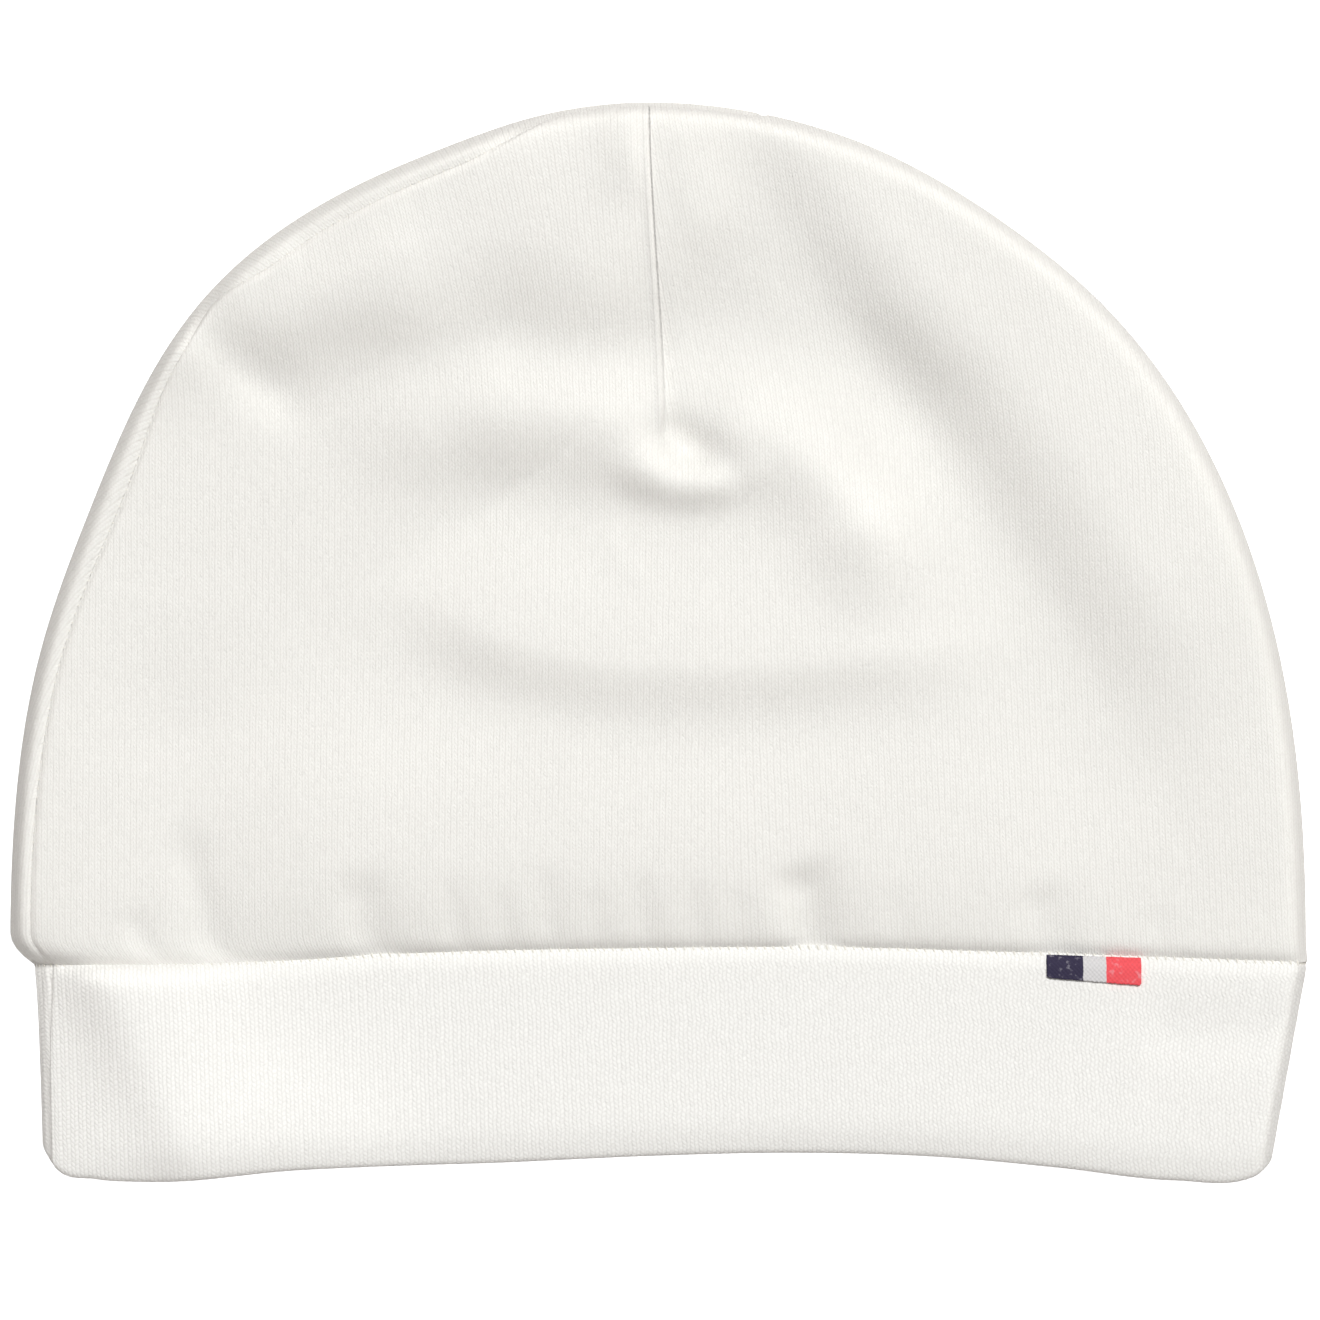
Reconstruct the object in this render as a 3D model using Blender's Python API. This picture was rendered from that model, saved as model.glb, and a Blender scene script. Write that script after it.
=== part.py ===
"""A newborn's hat of cotton jersey, lying flat on its back.

The crown is a front and a back panel, joined by one seam that runs up one side, over the top
and down the other. A folded knit band closes round the mouth, and a small woven tab is caught
in the seam between the two. The mouth points to -Y, the top of the crown to +Y and the front
panel up. Metres, with the origin under the middle of the hat.
"""
import math
from collections import namedtuple

import bmesh
import bpy
import numpy as np
from mathutils import Vector

# The hat laid flat
CROWN_WIDTH = 0.1755
CROWN_HEIGHT = 0.1160
BAND_HEIGHT = 0.0298

# Cloth
CROWN_WALL = 0.0012
BAND_WALL = 0.0024
SEAM_GAP = 0.0003

# How the cloth stands: the roll at its edges, the rise above it and the dip at the band seam
RIM_RADIUS = 0.0028
RIM_SLOPE = math.radians(50)
CROWN_PUFF = 0.0082
BAND_PUFF = 0.0066
SEAM_DIP = 0.0012
CROWN_DIP_REACH = 0.0010
BAND_DIP_REACH = 0.0018

# The crown's edge as a superellipse, and its corners that overhang the band
SIDE_CURVE = 1.95
TOP_CURVE = 2.46
OVERHANG_LEFT = 0.0031
OVERHANG_RIGHT = 0.0004
OVERHANG_RISE = 0.0042

# The band narrows towards the mouth
BAND_TAPER_LEFT = 0.0013
BAND_TAPER_RIGHT = 0.0050

# The dart down the middle of the front: it ends part of the way down, and leans a little, from
# its place across the hat at the top to another at its foot
DART_END = 0.61
DART_FADE = 0.04
DART_DEPTH = 0.0007
DART_WIDTH = 0.0013
DART_AT_TOP = -0.0013
DART_AT_FOOT = 0.0008

# The tab in the band seam
TAB_WIDTH = 0.0127
TAB_LENGTH = 0.0032
TAB_WALL = 0.0009
TAB_GAP = 0.0003
TAB_PLACE = 0.668
STRIPE_ENDS = (0.36, 0.64)

# Facets. The rings run round the crown's edge: a way in on top, and some rim radii in below.
OUTLINE_STEPS = 12
GRID_COLUMNS = 32
GRID_ROWS = 15
SEAM_ROWS = (0.0, 0.010, 0.024, 0.048)
BESIDE_DART = 1.6
RING_ROWS = 7
RING_REACH = 0.0080
UNDER_REACH = 0.5
BAND_COLUMNS = 24
BAND_ROWS = 7
FOLD_STEPS = 4
ROLL_STEPS = 5
TAB_COLUMNS = 12
TAB_ROWS = 3
SHARP_ANGLE = math.radians(60)

# Small departures from the superellipse, by degrees of turn from the left end of the seam
Kink = namedtuple("Kink", "turn spread push")
OUTLINE_KINKS = (
    Kink(turn=30, spread=9, push=-0.010),
    Kink(turn=48, spread=11, push=0.013),
    Kink(turn=71, spread=9, push=-0.007),
    Kink(turn=122, spread=10, push=-0.006),
)

# Where the panels' seam lies: its inset on top of the roll, or under it, in rim radii
Inset = namedtuple("Inset", "turn inset")
PANEL_SEAM = (
    Inset(turn=0, inset=0.85),
    Inset(turn=20, inset=0.95),
    Inset(turn=34, inset=1.20),
    Inset(turn=43, inset=0.75),
    Inset(turn=48, inset=0.30),
    Inset(turn=54, inset=1.05),
    Inset(turn=72, inset=1.10),
    Inset(turn=83, inset=0.10),
    Inset(turn=98, inset=0.12),
    Inset(turn=107, inset=-0.80),
    Inset(turn=125, inset=-1.20),
    Inset(turn=180, inset=-1.20),
)

# The band seam rises a little in the middle, in crown heights, across the half width
Lift = namedtuple("Lift", "across lift")
BAND_SEAM = (
    Lift(across=-1.00, lift=-0.006),
    Lift(across=-0.68, lift=-0.007),
    Lift(across=-0.40, lift=0.006),
    Lift(across=0.00, lift=0.013),
    Lift(across=0.25, lift=0.014),
    Lift(across=0.55, lift=0.008),
    Lift(across=1.00, lift=-0.004),
)

# The mouth's edge, in band heights, across the band's half width
MOUTH_LINE = (
    Lift(across=-1.00, lift=0.130),
    Lift(across=-0.975, lift=0.050),
    Lift(across=-0.91, lift=0.009),
    Lift(across=-0.84, lift=0.000),
    Lift(across=-0.58, lift=0.054),
    Lift(across=-0.26, lift=0.082),
    Lift(across=0.00, lift=0.114),
    Lift(across=0.20, lift=0.127),
    Lift(across=0.46, lift=0.108),
    Lift(across=0.65, lift=0.060),
    Lift(across=0.84, lift=0.002),
    Lift(across=0.96, lift=0.010),
    Lift(across=1.00, lift=0.060),
)

# Folds of the front panel. Places are (across the half width, up the crown height), widths on
# the two sides of the fold are in crown heights, and the height is in crown puffs.
Fold = namedtuple("Fold", "name start middle end above below height")
CROWN_FOLDS = (
    Fold("brow", (-0.50, 0.875), (-0.10, 0.885), (0.02, 0.69), 0.070, 0.062, 0.23),
    Fold("shoulder", (-0.76, 0.755), (-0.52, 0.750), (-0.26, 0.765), 0.035, 0.050, 0.22),
    Fold("side_crease", (-0.79, 0.80), (-0.69, 0.72), (-0.595, 0.635), 0.022, 0.045, -0.26),
    Fold("brow_hollow", (-0.66, 0.62), (-0.30, 0.73), (0.04, 0.71), 0.040, 0.040, -0.12),
    Fold("middle_left", (-0.56, 0.62), (-0.20, 0.63), (0.06, 0.57), 0.060, 0.054, 0.22),
    Fold("dart_bump", (-0.07, 0.57), (0.03, 0.54), (0.15, 0.57), 0.032, 0.026, 0.22),
    Fold("middle_right", (0.02, 0.64), (0.30, 0.63), (0.31, 0.39), 0.110, 0.034, 0.28),
    Fold("diagonal_crest", (0.13, 1.10), (0.59, 0.65), (0.93, 0.17), 0.110, 0.070, 0.17),
    Fold("diagonal_hollow", (0.03, 1.03), (0.50, 0.57), (0.84, 0.10), 0.070, 0.090, -0.17),
    Fold("low_crest", (-0.54, 0.52), (-0.28, 0.23), (0.66, 0.38), 0.110, 0.034, 0.11),
    Fold("seam_shoulder", (-0.99, 0.045), (0.00, 0.050), (0.99, 0.045), 0.120, 0.150, 0.12),
    Fold("gather", (-0.17, 0.97), (-0.08, 0.96), (0.00, 0.98), 0.030, 0.030, 0.10),
    Fold("left_pucker", (-0.77, 0.20), (-0.725, 0.07), (-0.655, -0.10), 0.045, 0.045, -0.14),
    Fold("right_pucker", (0.18, 0.15), (0.21, 0.06), (0.225, -0.06), 0.030, 0.030, -0.12),
)

# Folds of the band's front: places are (across the half width, down the band), widths are in
# band heights and the height is in band puffs.
BAND_FOLDS = (
    Fold("side_ridge", (-0.90, -0.20), (-0.82, 0.40), (-0.66, 1.20), 0.26, 0.26, 0.10),
    Fold("right_dip", (0.70, 0.25), (0.86, 0.34), (1.00, 0.30), 0.15, 0.15, -0.08),
)
FOLD_FADE = 0.30
FOLD_SAMPLES = 65
RIM_FADE = 0.0060
SEAM_FADE = 0.0013

JERSEY = (0.900, 0.895, 0.835)
RIB_KNIT = (0.920, 0.915, 0.880)
NAVY = (0.033, 0.027, 0.063)
GREY_WHITE = (0.680, 0.665, 0.672)
RED = (0.880, 0.098, 0.115)
KNIT_ROUGHNESS = 0.9
WOVEN_ROUGHNESS = 0.8


def clear_scene():
    for thing in list(bpy.data.objects):
        bpy.data.objects.remove(thing, do_unlink=True)


def cloth_material(name, colour, roughness):
    material = bpy.data.materials.new(name)
    material.use_nodes = True
    shader = material.node_tree.nodes["Principled BSDF"]
    shader.inputs["Base Color"].default_value = (*colour, 1.0)
    shader.inputs["Roughness"].default_value = roughness
    shader.inputs["Metallic"].default_value = 0.0
    return material


def smooth(t):
    """A soft step from 0 to 1."""
    t = np.clip(t, 0.0, 1.0)
    return t * t * (3.0 - 2.0 * t)


def soft_steps(rows, x):
    """The value of a two-column table at x, with a soft step from each row to the next."""
    places = np.array([row[0] for row in rows])
    values = np.array([row[1] for row in rows])
    x = np.clip(x, places[0], places[-1])
    i = np.clip(np.searchsorted(places, x) - 1, 0, len(rows) - 2)
    t = smooth((x - places[i]) / (places[i + 1] - places[i]))
    return values[i] + (values[i + 1] - values[i]) * t


def curve_through(rows, x):
    """The value of a two-column table at x, on a smooth curve through its rows."""
    places = np.array([row[0] for row in rows])
    values = np.array([row[1] for row in rows])
    slopes = np.gradient(values, places)
    x = np.clip(x, places[0], places[-1])
    i = np.clip(np.searchsorted(places, x) - 1, 0, len(rows) - 2)
    step = places[i + 1] - places[i]
    t = (x - places[i]) / step
    start = (2 * t**3 - 3 * t**2 + 1) * values[i] + (t**3 - 2 * t**2 + t) * step * slopes[i]
    end = (3 * t**2 - 2 * t**3) * values[i + 1] + (t**3 - t**2) * step * slopes[i + 1]
    return start + end


def fold_relief(folds, x, y, width, height, puff):
    """The height that a table of folds adds at x, y.

    A fold follows a curve through its three points. It fades out at both ends, and falls away
    over one width on its left side and another on its right.
    """
    relief = np.zeros_like(x)
    t = np.linspace(0.0, 1.0, FOLD_SAMPLES)[:, None]
    for fold in folds:
        start, middle, end = (np.array(point) for point in (fold.start, fold.middle, fold.end))
        spine = ((1 - t) ** 2 * start + 2 * t * (1 - t) * middle + t**2 * end) * (width / 2, height)
        nearest = np.hypot(x[:, None] - spine[:, 0], y[:, None] - spine[:, 1]).argmin(axis=1)
        inside = np.clip(nearest, 1, FOLD_SAMPLES - 2)
        way = spine[inside + 1] - spine[inside - 1]
        step = np.hypot(way[:, 0], way[:, 1]) / 2
        way = way / (2 * step[:, None])
        dx = x - spine[nearest, 0]
        dy = y - spine[nearest, 1]
        aside = way[:, 0] * dy - way[:, 1] * dx
        along = (nearest + (way[:, 0] * dx + way[:, 1] * dy) / step) / (FOLD_SAMPLES - 1)
        reach = np.where(aside > 0, fold.above, fold.below) * height
        fade = smooth(along / FOLD_FADE) * smooth((1 - along) / FOLD_FADE)
        relief += fold.height * puff * fade * np.exp(-((aside / reach) ** 2))
    return relief


def outline(turn):
    """The crown's edge seen from above, by radians of turn from the left end of the seam."""
    c = np.abs(np.cos(turn)) + 1e-9
    s = np.abs(np.sin(turn)) + 1e-9
    reach = np.ones_like(turn)
    for _ in range(OUTLINE_STEPS):
        side = (reach * c) ** SIDE_CURVE
        top = (reach * s) ** TOP_CURVE
        reach = reach - reach * (side + top - 1) / (SIDE_CURVE * side + TOP_CURVE * top)
    for kink in OUTLINE_KINKS:
        away = (np.degrees(turn) - kink.turn) / kink.spread
        reach = reach * (1 + kink.push * np.exp(-(away**2)))
    return -reach * np.cos(turn) * CROWN_WIDTH / 2, reach * np.sin(turn) * CROWN_HEIGHT


def reach_inwards(turn):
    """How far the edge is from the middle of the seam, and that distance square to the edge."""
    nudge = 1e-4
    x, y = outline(turn)
    x0, y0 = outline(turn - nudge)
    x1, y1 = outline(turn + nudge)
    length = np.hypot(x1 - x0, y1 - y0)
    square = ((x1 - x0) * y - (y1 - y0) * x) / -length
    return np.hypot(x, y), np.abs(square)


def roll(path):
    """Inset and height of the rolled edge. The path is 0 at its outermost line, + on top."""
    last = math.pi / 2 - RIM_SLOPE
    turn = np.clip(path / RIM_RADIUS, -math.pi / 2, last)
    above = np.maximum(path - last * RIM_RADIUS, 0.0)
    below = np.maximum(-path - RIM_RADIUS * math.pi / 2, 0.0)
    inset = RIM_RADIUS * (1 - np.cos(turn)) + above + below
    return inset, RIM_RADIUS * (1 + np.sin(turn)), above


def roll_path(inset):
    """The path to a signed inset: + is seen on top of the roll, - is hidden under it."""
    size = np.abs(inset)
    turn = np.arccos(np.clip(1 - size / RIM_RADIUS, 0.0, 1.0))
    return np.sign(inset) * (turn * RIM_RADIUS + np.maximum(size - RIM_RADIUS, 0.0))


def rise(above, puff):
    """The height of the top sheet over the roll, with the roll's slope at its start."""
    return puff * (1 - np.exp(-above * math.tan(RIM_SLOPE) / puff))


def band_seam_line(x):
    return curve_through(BAND_SEAM, x / (CROWN_WIDTH / 2)) * CROWN_HEIGHT


def dart_line(up):
    """Where the dart is across the crown, at a share of the way up."""
    return DART_AT_TOP + (DART_AT_FOOT - DART_AT_TOP) * smooth((1 - up) / (1 - DART_END))


def crown_surface(turn, path):
    """A point of the crown's outer face, by turn round its edge and path in from the edge."""
    edge_x, edge_y = outline(turn)
    radius, square = reach_inwards(turn)
    inset, z, above = roll(path)
    keep = 1 - inset / square
    x = edge_x * keep
    y = edge_y * keep
    up = y / CROWN_HEIGHT

    seam_puff = BAND_PUFF - SEAM_DIP
    from_seam = 1 - np.exp(-y / CROWN_DIP_REACH)
    puff = seam_puff + (CROWN_PUFF - seam_puff) * from_seam
    relief = fold_relief(CROWN_FOLDS, x, y, CROWN_WIDTH, CROWN_HEIGHT, CROWN_PUFF)
    dart = smooth((up - DART_END) / DART_FADE) * np.exp(-((x / DART_WIDTH) ** 2))
    away = (1 - np.exp(-above / RIM_FADE)) * (1 - np.exp(-y / SEAM_FADE))
    z = z + rise(above, puff) + (relief - DART_DEPTH * dart) * away

    corner = np.clip(1 - y / OVERHANG_RISE, 0.0, 1.0)
    overhang = np.where(x < 0, OVERHANG_LEFT, OVERHANG_RIGHT)
    x = x * (1 - overhang / (CROWN_WIDTH / 2) * corner**2)
    middle = 1 - np.abs(x) / (CROWN_WIDTH / 2)
    x = x + dart_line(up) * smooth(up / DART_END) * middle
    y = y + (band_seam_line(x) + SEAM_GAP / 2) * (1 - up) ** 2
    return np.stack([x, y, z], axis=-1)


def crown_normal(turn, path):
    """The outward direction of the crown's face near its edge."""
    nudge_turn, nudge_path = 1e-3, 1e-5
    round_edge = crown_surface(turn + nudge_turn, path) - crown_surface(turn - nudge_turn, path)
    inwards = crown_surface(turn, path + nudge_path) - crown_surface(turn, path - nudge_path)
    normal = np.cross(inwards, round_edge)
    return normal / np.linalg.norm(normal, axis=-1, keepdims=True)


def panel_seam_path(turn):
    return roll_path(soft_steps(PANEL_SEAM, np.degrees(turn)) * RIM_RADIUS)


def half_disc():
    """The crown's inner grid as turn and share of the way out, and its edge as grid indices.

    A grid on half a square is bent into half a disc, so that it has no pole and its first row
    runs along the band seam. Two more columns stand beside the dart, and more rows at the seam.
    """
    columns = np.linspace(-1.0, 1.0, GRID_COLUMNS + 1)
    beside = BESIDE_DART * DART_WIDTH / (CROWN_WIDTH / 2)
    columns = np.sort(np.append(columns, [-beside, beside]))
    rest = np.linspace(SEAM_ROWS[-1], 1.0, GRID_ROWS + 1)[1:]
    rows = np.append(SEAM_ROWS, rest)
    x, y = np.meshgrid(columns, rows)
    out_x = x * np.sqrt(1 - y**2 / 2)
    out_y = y * np.sqrt(1 - x**2 / 2)
    turn = math.pi - np.arctan2(out_y, out_x)
    last_row, last_column = len(rows) - 1, len(columns) - 1
    edge = [(row, 0) for row in range(last_row)]
    edge += [(last_row, column) for column in range(last_column)]
    edge += [(row, last_column) for row in range(last_row, -1, -1)]
    return turn, np.hypot(out_x, out_y), edge


def rings(turns, gap, inner_path):
    """Rows of outer and inner points round the crown's edge, from the panels' seam inwards.

    The first row stands half a gap from the seam, and takes the seam's own normal, so that the
    two panels' edges face each other squarely.
    """
    seam_path = panel_seam_path(turns)
    rows = []
    for share in np.linspace(0.0, 1.0, RING_ROWS + 1):
        path = seam_path + gap + (inner_path - seam_path - gap) * share
        outer = crown_surface(turns, path)
        normal = crown_normal(turns, path if share else seam_path)
        rows.append((outer, outer - normal * CROWN_WALL))
    return rows


def add_points(bm, points):
    return [bm.verts.new(point) for point in points]


def join_rows(bm, first, second):
    """Quads between two rows of as many vertices, with the second row on the left."""
    for i in range(len(first) - 1):
        bm.faces.new((first[i], first[i + 1], second[i + 1], second[i]))


def close_wall(bm, inner_points):
    """Give an open sheet its other side, and an edge all round between the two."""
    sheet_faces = list(bm.faces)
    open_edges = [edge for edge in bm.edges if edge.is_boundary]
    inner = {vert: bm.verts.new(inner_points[vert]) for vert in list(bm.verts)}
    for edge in open_edges:
        loop = edge.link_loops[0]
        start, end = loop.vert, loop.link_loop_next.vert
        bm.faces.new((end, start, inner[start], inner[end]))
    for face in sheet_faces:
        bm.faces.new([inner[vert] for vert in reversed(face.verts)])


def finish_piece(name, bm, materials):
    """Turn a bmesh into a named piece of the hat."""
    mesh = bpy.data.meshes.new(name)
    bm.normal_update()
    bm.to_mesh(mesh)
    bm.free()
    for material in materials:
        mesh.materials.append(material)
    mesh.shade_smooth()
    mesh.set_sharp_from_angle(angle=SHARP_ANGLE)
    piece = bpy.data.objects.new(name, mesh)
    bpy.context.collection.objects.link(piece)
    return piece


def grid_normals(points):
    """The upward direction of a grid of points, from its neighbours."""
    across = np.gradient(points, axis=1)
    up = np.gradient(points, axis=0)
    normal = np.cross(across, up)
    return normal / np.linalg.norm(normal, axis=-1, keepdims=True)


def add_rings(bm, turns, gap, inner_path):
    """Rings of vertices round the edge, with the inner point of each."""
    inner_points = {}
    ring_verts = []
    for outer, inner in rings(turns, gap, inner_path):
        verts = add_points(bm, outer)
        inner_points.update(zip(verts, inner))
        ring_verts.append(verts)
    return ring_verts, inner_points


def make_crown_front(jersey):
    """The front panel: rings over the rolled edge, and a grid with the folds inside them."""
    turn, share, edge = half_disc()
    edge_turns = np.array([turn[place] for place in edge])
    bm = bmesh.new()
    ring_verts, inner_points = add_rings(bm, edge_turns, SEAM_GAP / 2, RING_REACH)
    for first, second in zip(ring_verts, ring_verts[1:]):
        join_rows(bm, second, first)

    square = reach_inwards(turn.ravel())[1]
    inset, _, _ = roll(np.full_like(square, RING_REACH))
    path = RING_REACH + (1 - share.ravel()) * (square - inset)
    points = crown_surface(turn.ravel(), path).reshape(*turn.shape, 3)
    inner = points - grid_normals(points) * CROWN_WALL
    grid = [[None] * turn.shape[1] for _ in range(turn.shape[0])]
    for place, vert in zip(edge, ring_verts[-1]):
        grid[place[0]][place[1]] = vert
    for row in range(turn.shape[0]):
        for column in range(turn.shape[1]):
            if grid[row][column] is None:
                grid[row][column] = bm.verts.new(points[row, column])
                inner_points[grid[row][column]] = inner[row, column]
    for first, second in zip(grid, grid[1:]):
        join_rows(bm, first, second)
    close_wall(bm, inner_points)
    return finish_piece("crown_front", bm, [jersey])


def make_crown_back(jersey):
    """The back panel: flat where it lies on the floor, and turned up to the panels' seam."""
    turn, _, edge = half_disc()
    edge_turns = np.array([turn[place] for place in edge])
    flat = -(math.pi / 2 + UNDER_REACH) * RIM_RADIUS
    bm = bmesh.new()
    ring_verts, inner_points = add_rings(bm, edge_turns, -SEAM_GAP / 2, flat)
    for first, second in zip(ring_verts, ring_verts[1:]):
        join_rows(bm, first, second)

    left, right = ring_verts[-1][0].co, ring_verts[-1][-1].co
    across = np.linspace(right.x, left.x, GRID_COLUMNS + 1)[1:-1]
    seam = [(x, band_seam_line(x) + SEAM_GAP / 2, 0.0) for x in across]
    seam_verts = add_points(bm, seam)
    inner_points.update((vert, vert.co + Vector((0, 0, CROWN_WALL))) for vert in seam_verts)
    bm.faces.new([*ring_verts[-1], *seam_verts])
    close_wall(bm, inner_points)
    return finish_piece("crown_back", bm, [jersey])


def band_edges(down):
    """Where the band's sides are, at a share of the way down from the seam to the mouth."""
    left = -(CROWN_WIDTH / 2 - OVERHANG_LEFT) + BAND_TAPER_LEFT * np.sqrt(down)
    right = CROWN_WIDTH / 2 - OVERHANG_RIGHT - BAND_TAPER_RIGHT * down
    return left, right


def mouth_line(x):
    left, right = band_edges(1.0)
    across = (x - (left + right) / 2) / ((right - left) / 2)
    return (curve_through(MOUTH_LINE, across) - 1) * BAND_HEIGHT


def band_section(down):
    """The band's outer line in one slice: x, z and outward normal, once round the hat."""
    left, right = band_edges(down)
    turns = np.linspace(-math.pi / 2, math.pi / 2 - RIM_SLOPE, ROLL_STEPS + 1)
    inset, z, _ = roll(turns * RIM_RADIUS)
    reach = (right - left) / 2 - inset[-1]
    shares = np.linspace(-1.0, 1.0, BAND_COLUMNS + 1)[1:-1]
    top_x = (left + right) / 2 + reach * shares
    above = reach * (1 - np.abs(shares))
    from_seam = down * BAND_HEIGHT
    puff = BAND_PUFF - SEAM_DIP * np.exp(-((from_seam / BAND_DIP_REACH) ** 2))
    relief = fold_relief(
        BAND_FOLDS, top_x, np.full_like(top_x, from_seam), CROWN_WIDTH, BAND_HEIGHT, BAND_PUFF
    )
    away = (1 - np.exp(-above / RIM_FADE)) * (1 - np.exp(-from_seam / SEAM_FADE))
    top_z = z[-1] + rise(above, puff) + relief * away
    under_x = np.linspace(right - RIM_RADIUS, left + RIM_RADIUS, BAND_COLUMNS // 2 + 1)[1:-1]
    x = np.concatenate([left + inset, top_x, (right - inset)[::-1], under_x])
    z = np.concatenate([z, top_z, z[::-1], np.zeros_like(under_x)])
    way_x = np.roll(x, -1) - np.roll(x, 1)
    way_z = np.roll(z, -1) - np.roll(z, 1)
    length = np.hypot(way_x, way_z)
    return x, z, -way_z / length, way_x / length


def band_profile():
    """The folded band in section, as pairs of share down from the seam and depth in."""
    fold = BAND_WALL / 2 / BAND_HEIGHT
    outer = [(down, 0.0) for down in np.linspace(0.0, 1.0 - fold, BAND_ROWS)]
    outer.insert(1, (BAND_DIP_REACH / BAND_HEIGHT, 0.0))
    turns = np.linspace(0.0, math.pi, FOLD_STEPS + 1)[1:-1]
    folded = [
        (1.0 - fold + fold * math.sin(turn), BAND_WALL / 2 * (1 - math.cos(turn)))
        for turn in turns
    ]
    inner = [(down, BAND_WALL) for down, _ in reversed(outer)]
    return outer + folded + inner


def make_band(knit):
    """The band: its folded section, carried once round the mouth of the hat."""
    bm = bmesh.new()
    loops = []
    for down, depth in band_profile():
        x, z, out_x, out_z = band_section(down)
        x = x - out_x * depth
        z = z - out_z * depth
        seam = band_seam_line(x) - SEAM_GAP / 2
        y = seam + (mouth_line(x) - seam) * down
        loops.append(add_points(bm, np.stack([x, y, z], axis=-1)))
    for first, second in zip(loops, [*loops[1:], loops[0]]):
        join_rows(bm, [*first, first[0]], [*second, second[0]])
    bmesh.ops.recalc_face_normals(bm, faces=bm.faces)
    return finish_piece("band", bm, [knit])


def band_top(x, down):
    """The height of the band's front at x, a share of the way down."""
    section_x, section_z, _, _ = band_section(down)
    first, last = ROLL_STEPS, ROLL_STEPS + BAND_COLUMNS
    return np.interp(x, section_x[first:last + 1], section_z[first:last + 1])


def make_tab(stripes):
    """The woven tab: three stripes side by side, lying on the band just below the seam."""
    middle = TAB_PLACE * CROWN_WIDTH / 2
    bm = bmesh.new()
    grid = []
    for share in np.linspace(1.0, 0.0, TAB_ROWS + 1):
        x = middle + np.linspace(-0.5, 0.5, TAB_COLUMNS + 1) * TAB_WIDTH
        below = SEAM_GAP + TAB_LENGTH * share
        y = band_seam_line(x) - below
        z = band_top(x, below / BAND_HEIGHT) + TAB_GAP
        grid.append(add_points(bm, np.stack([x, y, z], axis=-1)))
    for first, second in zip(grid, grid[1:]):
        join_rows(bm, first, second)
    for face in bm.faces:
        share = (face.calc_center_median().x - middle) / TAB_WIDTH + 0.5
        face.material_index = sum(share > end for end in STRIPE_ENDS)
    tab = finish_piece("tab", bm, stripes)
    solidify = tab.modifiers.new("ribbon", "SOLIDIFY")
    solidify.thickness = TAB_WALL
    solidify.offset = 1.0
    return tab


def centre_origin(pieces):
    """Move all pieces together, so that the origin is under the middle of the hat."""
    points = np.array([vert.co for piece in pieces for vert in piece.data.vertices])
    low = points.min(axis=0)
    high = points.max(axis=0)
    middle = (low + high) / 2
    for piece in pieces:
        for vert in piece.data.vertices:
            vert.co.x -= middle[0]
            vert.co.y -= middle[1]
            vert.co.z -= low[2]


def make_hat():
    clear_scene()
    jersey = cloth_material("jersey", JERSEY, KNIT_ROUGHNESS)
    knit = cloth_material("rib_knit", RIB_KNIT, KNIT_ROUGHNESS)
    stripes = [
        cloth_material("navy_stripe", NAVY, WOVEN_ROUGHNESS),
        cloth_material("grey_white_stripe", GREY_WHITE, WOVEN_ROUGHNESS),
        cloth_material("red_stripe", RED, WOVEN_ROUGHNESS),
    ]
    pieces = [
        make_crown_front(jersey),
        make_crown_back(jersey),
        make_band(knit),
        make_tab(stripes),
    ]
    centre_origin(pieces)


make_hat()
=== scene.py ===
# %% [markdown]
# # A newborn's hat, laid flat
#
# The hat is a crown of two jersey panels, a band of folded rib knit and a small woven tab. It
# could be sculpted by hand or draped by a cloth simulation. Here each cloth is a surface worked
# out in numpy instead, because a few rules and short tables then say where every seam and fold
# is, and each can be set against the picture. Shader nodes draw the knit on top.

import math
from collections import namedtuple

import bpy
import numpy as np
from mathutils import Matrix, Vector, noise


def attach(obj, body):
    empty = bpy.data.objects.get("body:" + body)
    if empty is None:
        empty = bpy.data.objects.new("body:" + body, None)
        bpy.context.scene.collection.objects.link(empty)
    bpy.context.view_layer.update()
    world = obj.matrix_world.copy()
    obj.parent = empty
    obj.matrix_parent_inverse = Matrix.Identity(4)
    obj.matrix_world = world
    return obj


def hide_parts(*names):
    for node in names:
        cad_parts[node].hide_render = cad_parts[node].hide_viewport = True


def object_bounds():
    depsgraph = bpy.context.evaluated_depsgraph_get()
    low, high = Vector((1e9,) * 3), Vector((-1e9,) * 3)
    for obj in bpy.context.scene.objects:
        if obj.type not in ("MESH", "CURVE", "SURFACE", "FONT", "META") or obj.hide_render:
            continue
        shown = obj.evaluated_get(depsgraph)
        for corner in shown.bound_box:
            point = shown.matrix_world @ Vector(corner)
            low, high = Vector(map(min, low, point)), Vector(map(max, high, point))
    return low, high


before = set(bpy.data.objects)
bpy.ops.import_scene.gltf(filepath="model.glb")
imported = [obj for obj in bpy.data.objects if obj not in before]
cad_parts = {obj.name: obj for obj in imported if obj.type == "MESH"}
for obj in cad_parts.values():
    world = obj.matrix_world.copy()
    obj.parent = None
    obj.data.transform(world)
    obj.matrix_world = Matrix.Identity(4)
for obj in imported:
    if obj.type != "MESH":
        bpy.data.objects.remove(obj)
cad_box = [list(corner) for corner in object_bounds()]
print("nodes", sorted(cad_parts))
print("CAD box in mm", [[round(x * 1000, 2) for x in corner] for corner in cad_box])

# %% [markdown]
# ## The picture's frame
#
# The hat is seen from straight above, from so far away that its edges hardly lean. A camera set
# to Orthographic would show no lean at all. A long lens keeps the trace of it that a real picture
# has, and the camera's distance follows from the size of one pixel on the hat.

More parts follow.
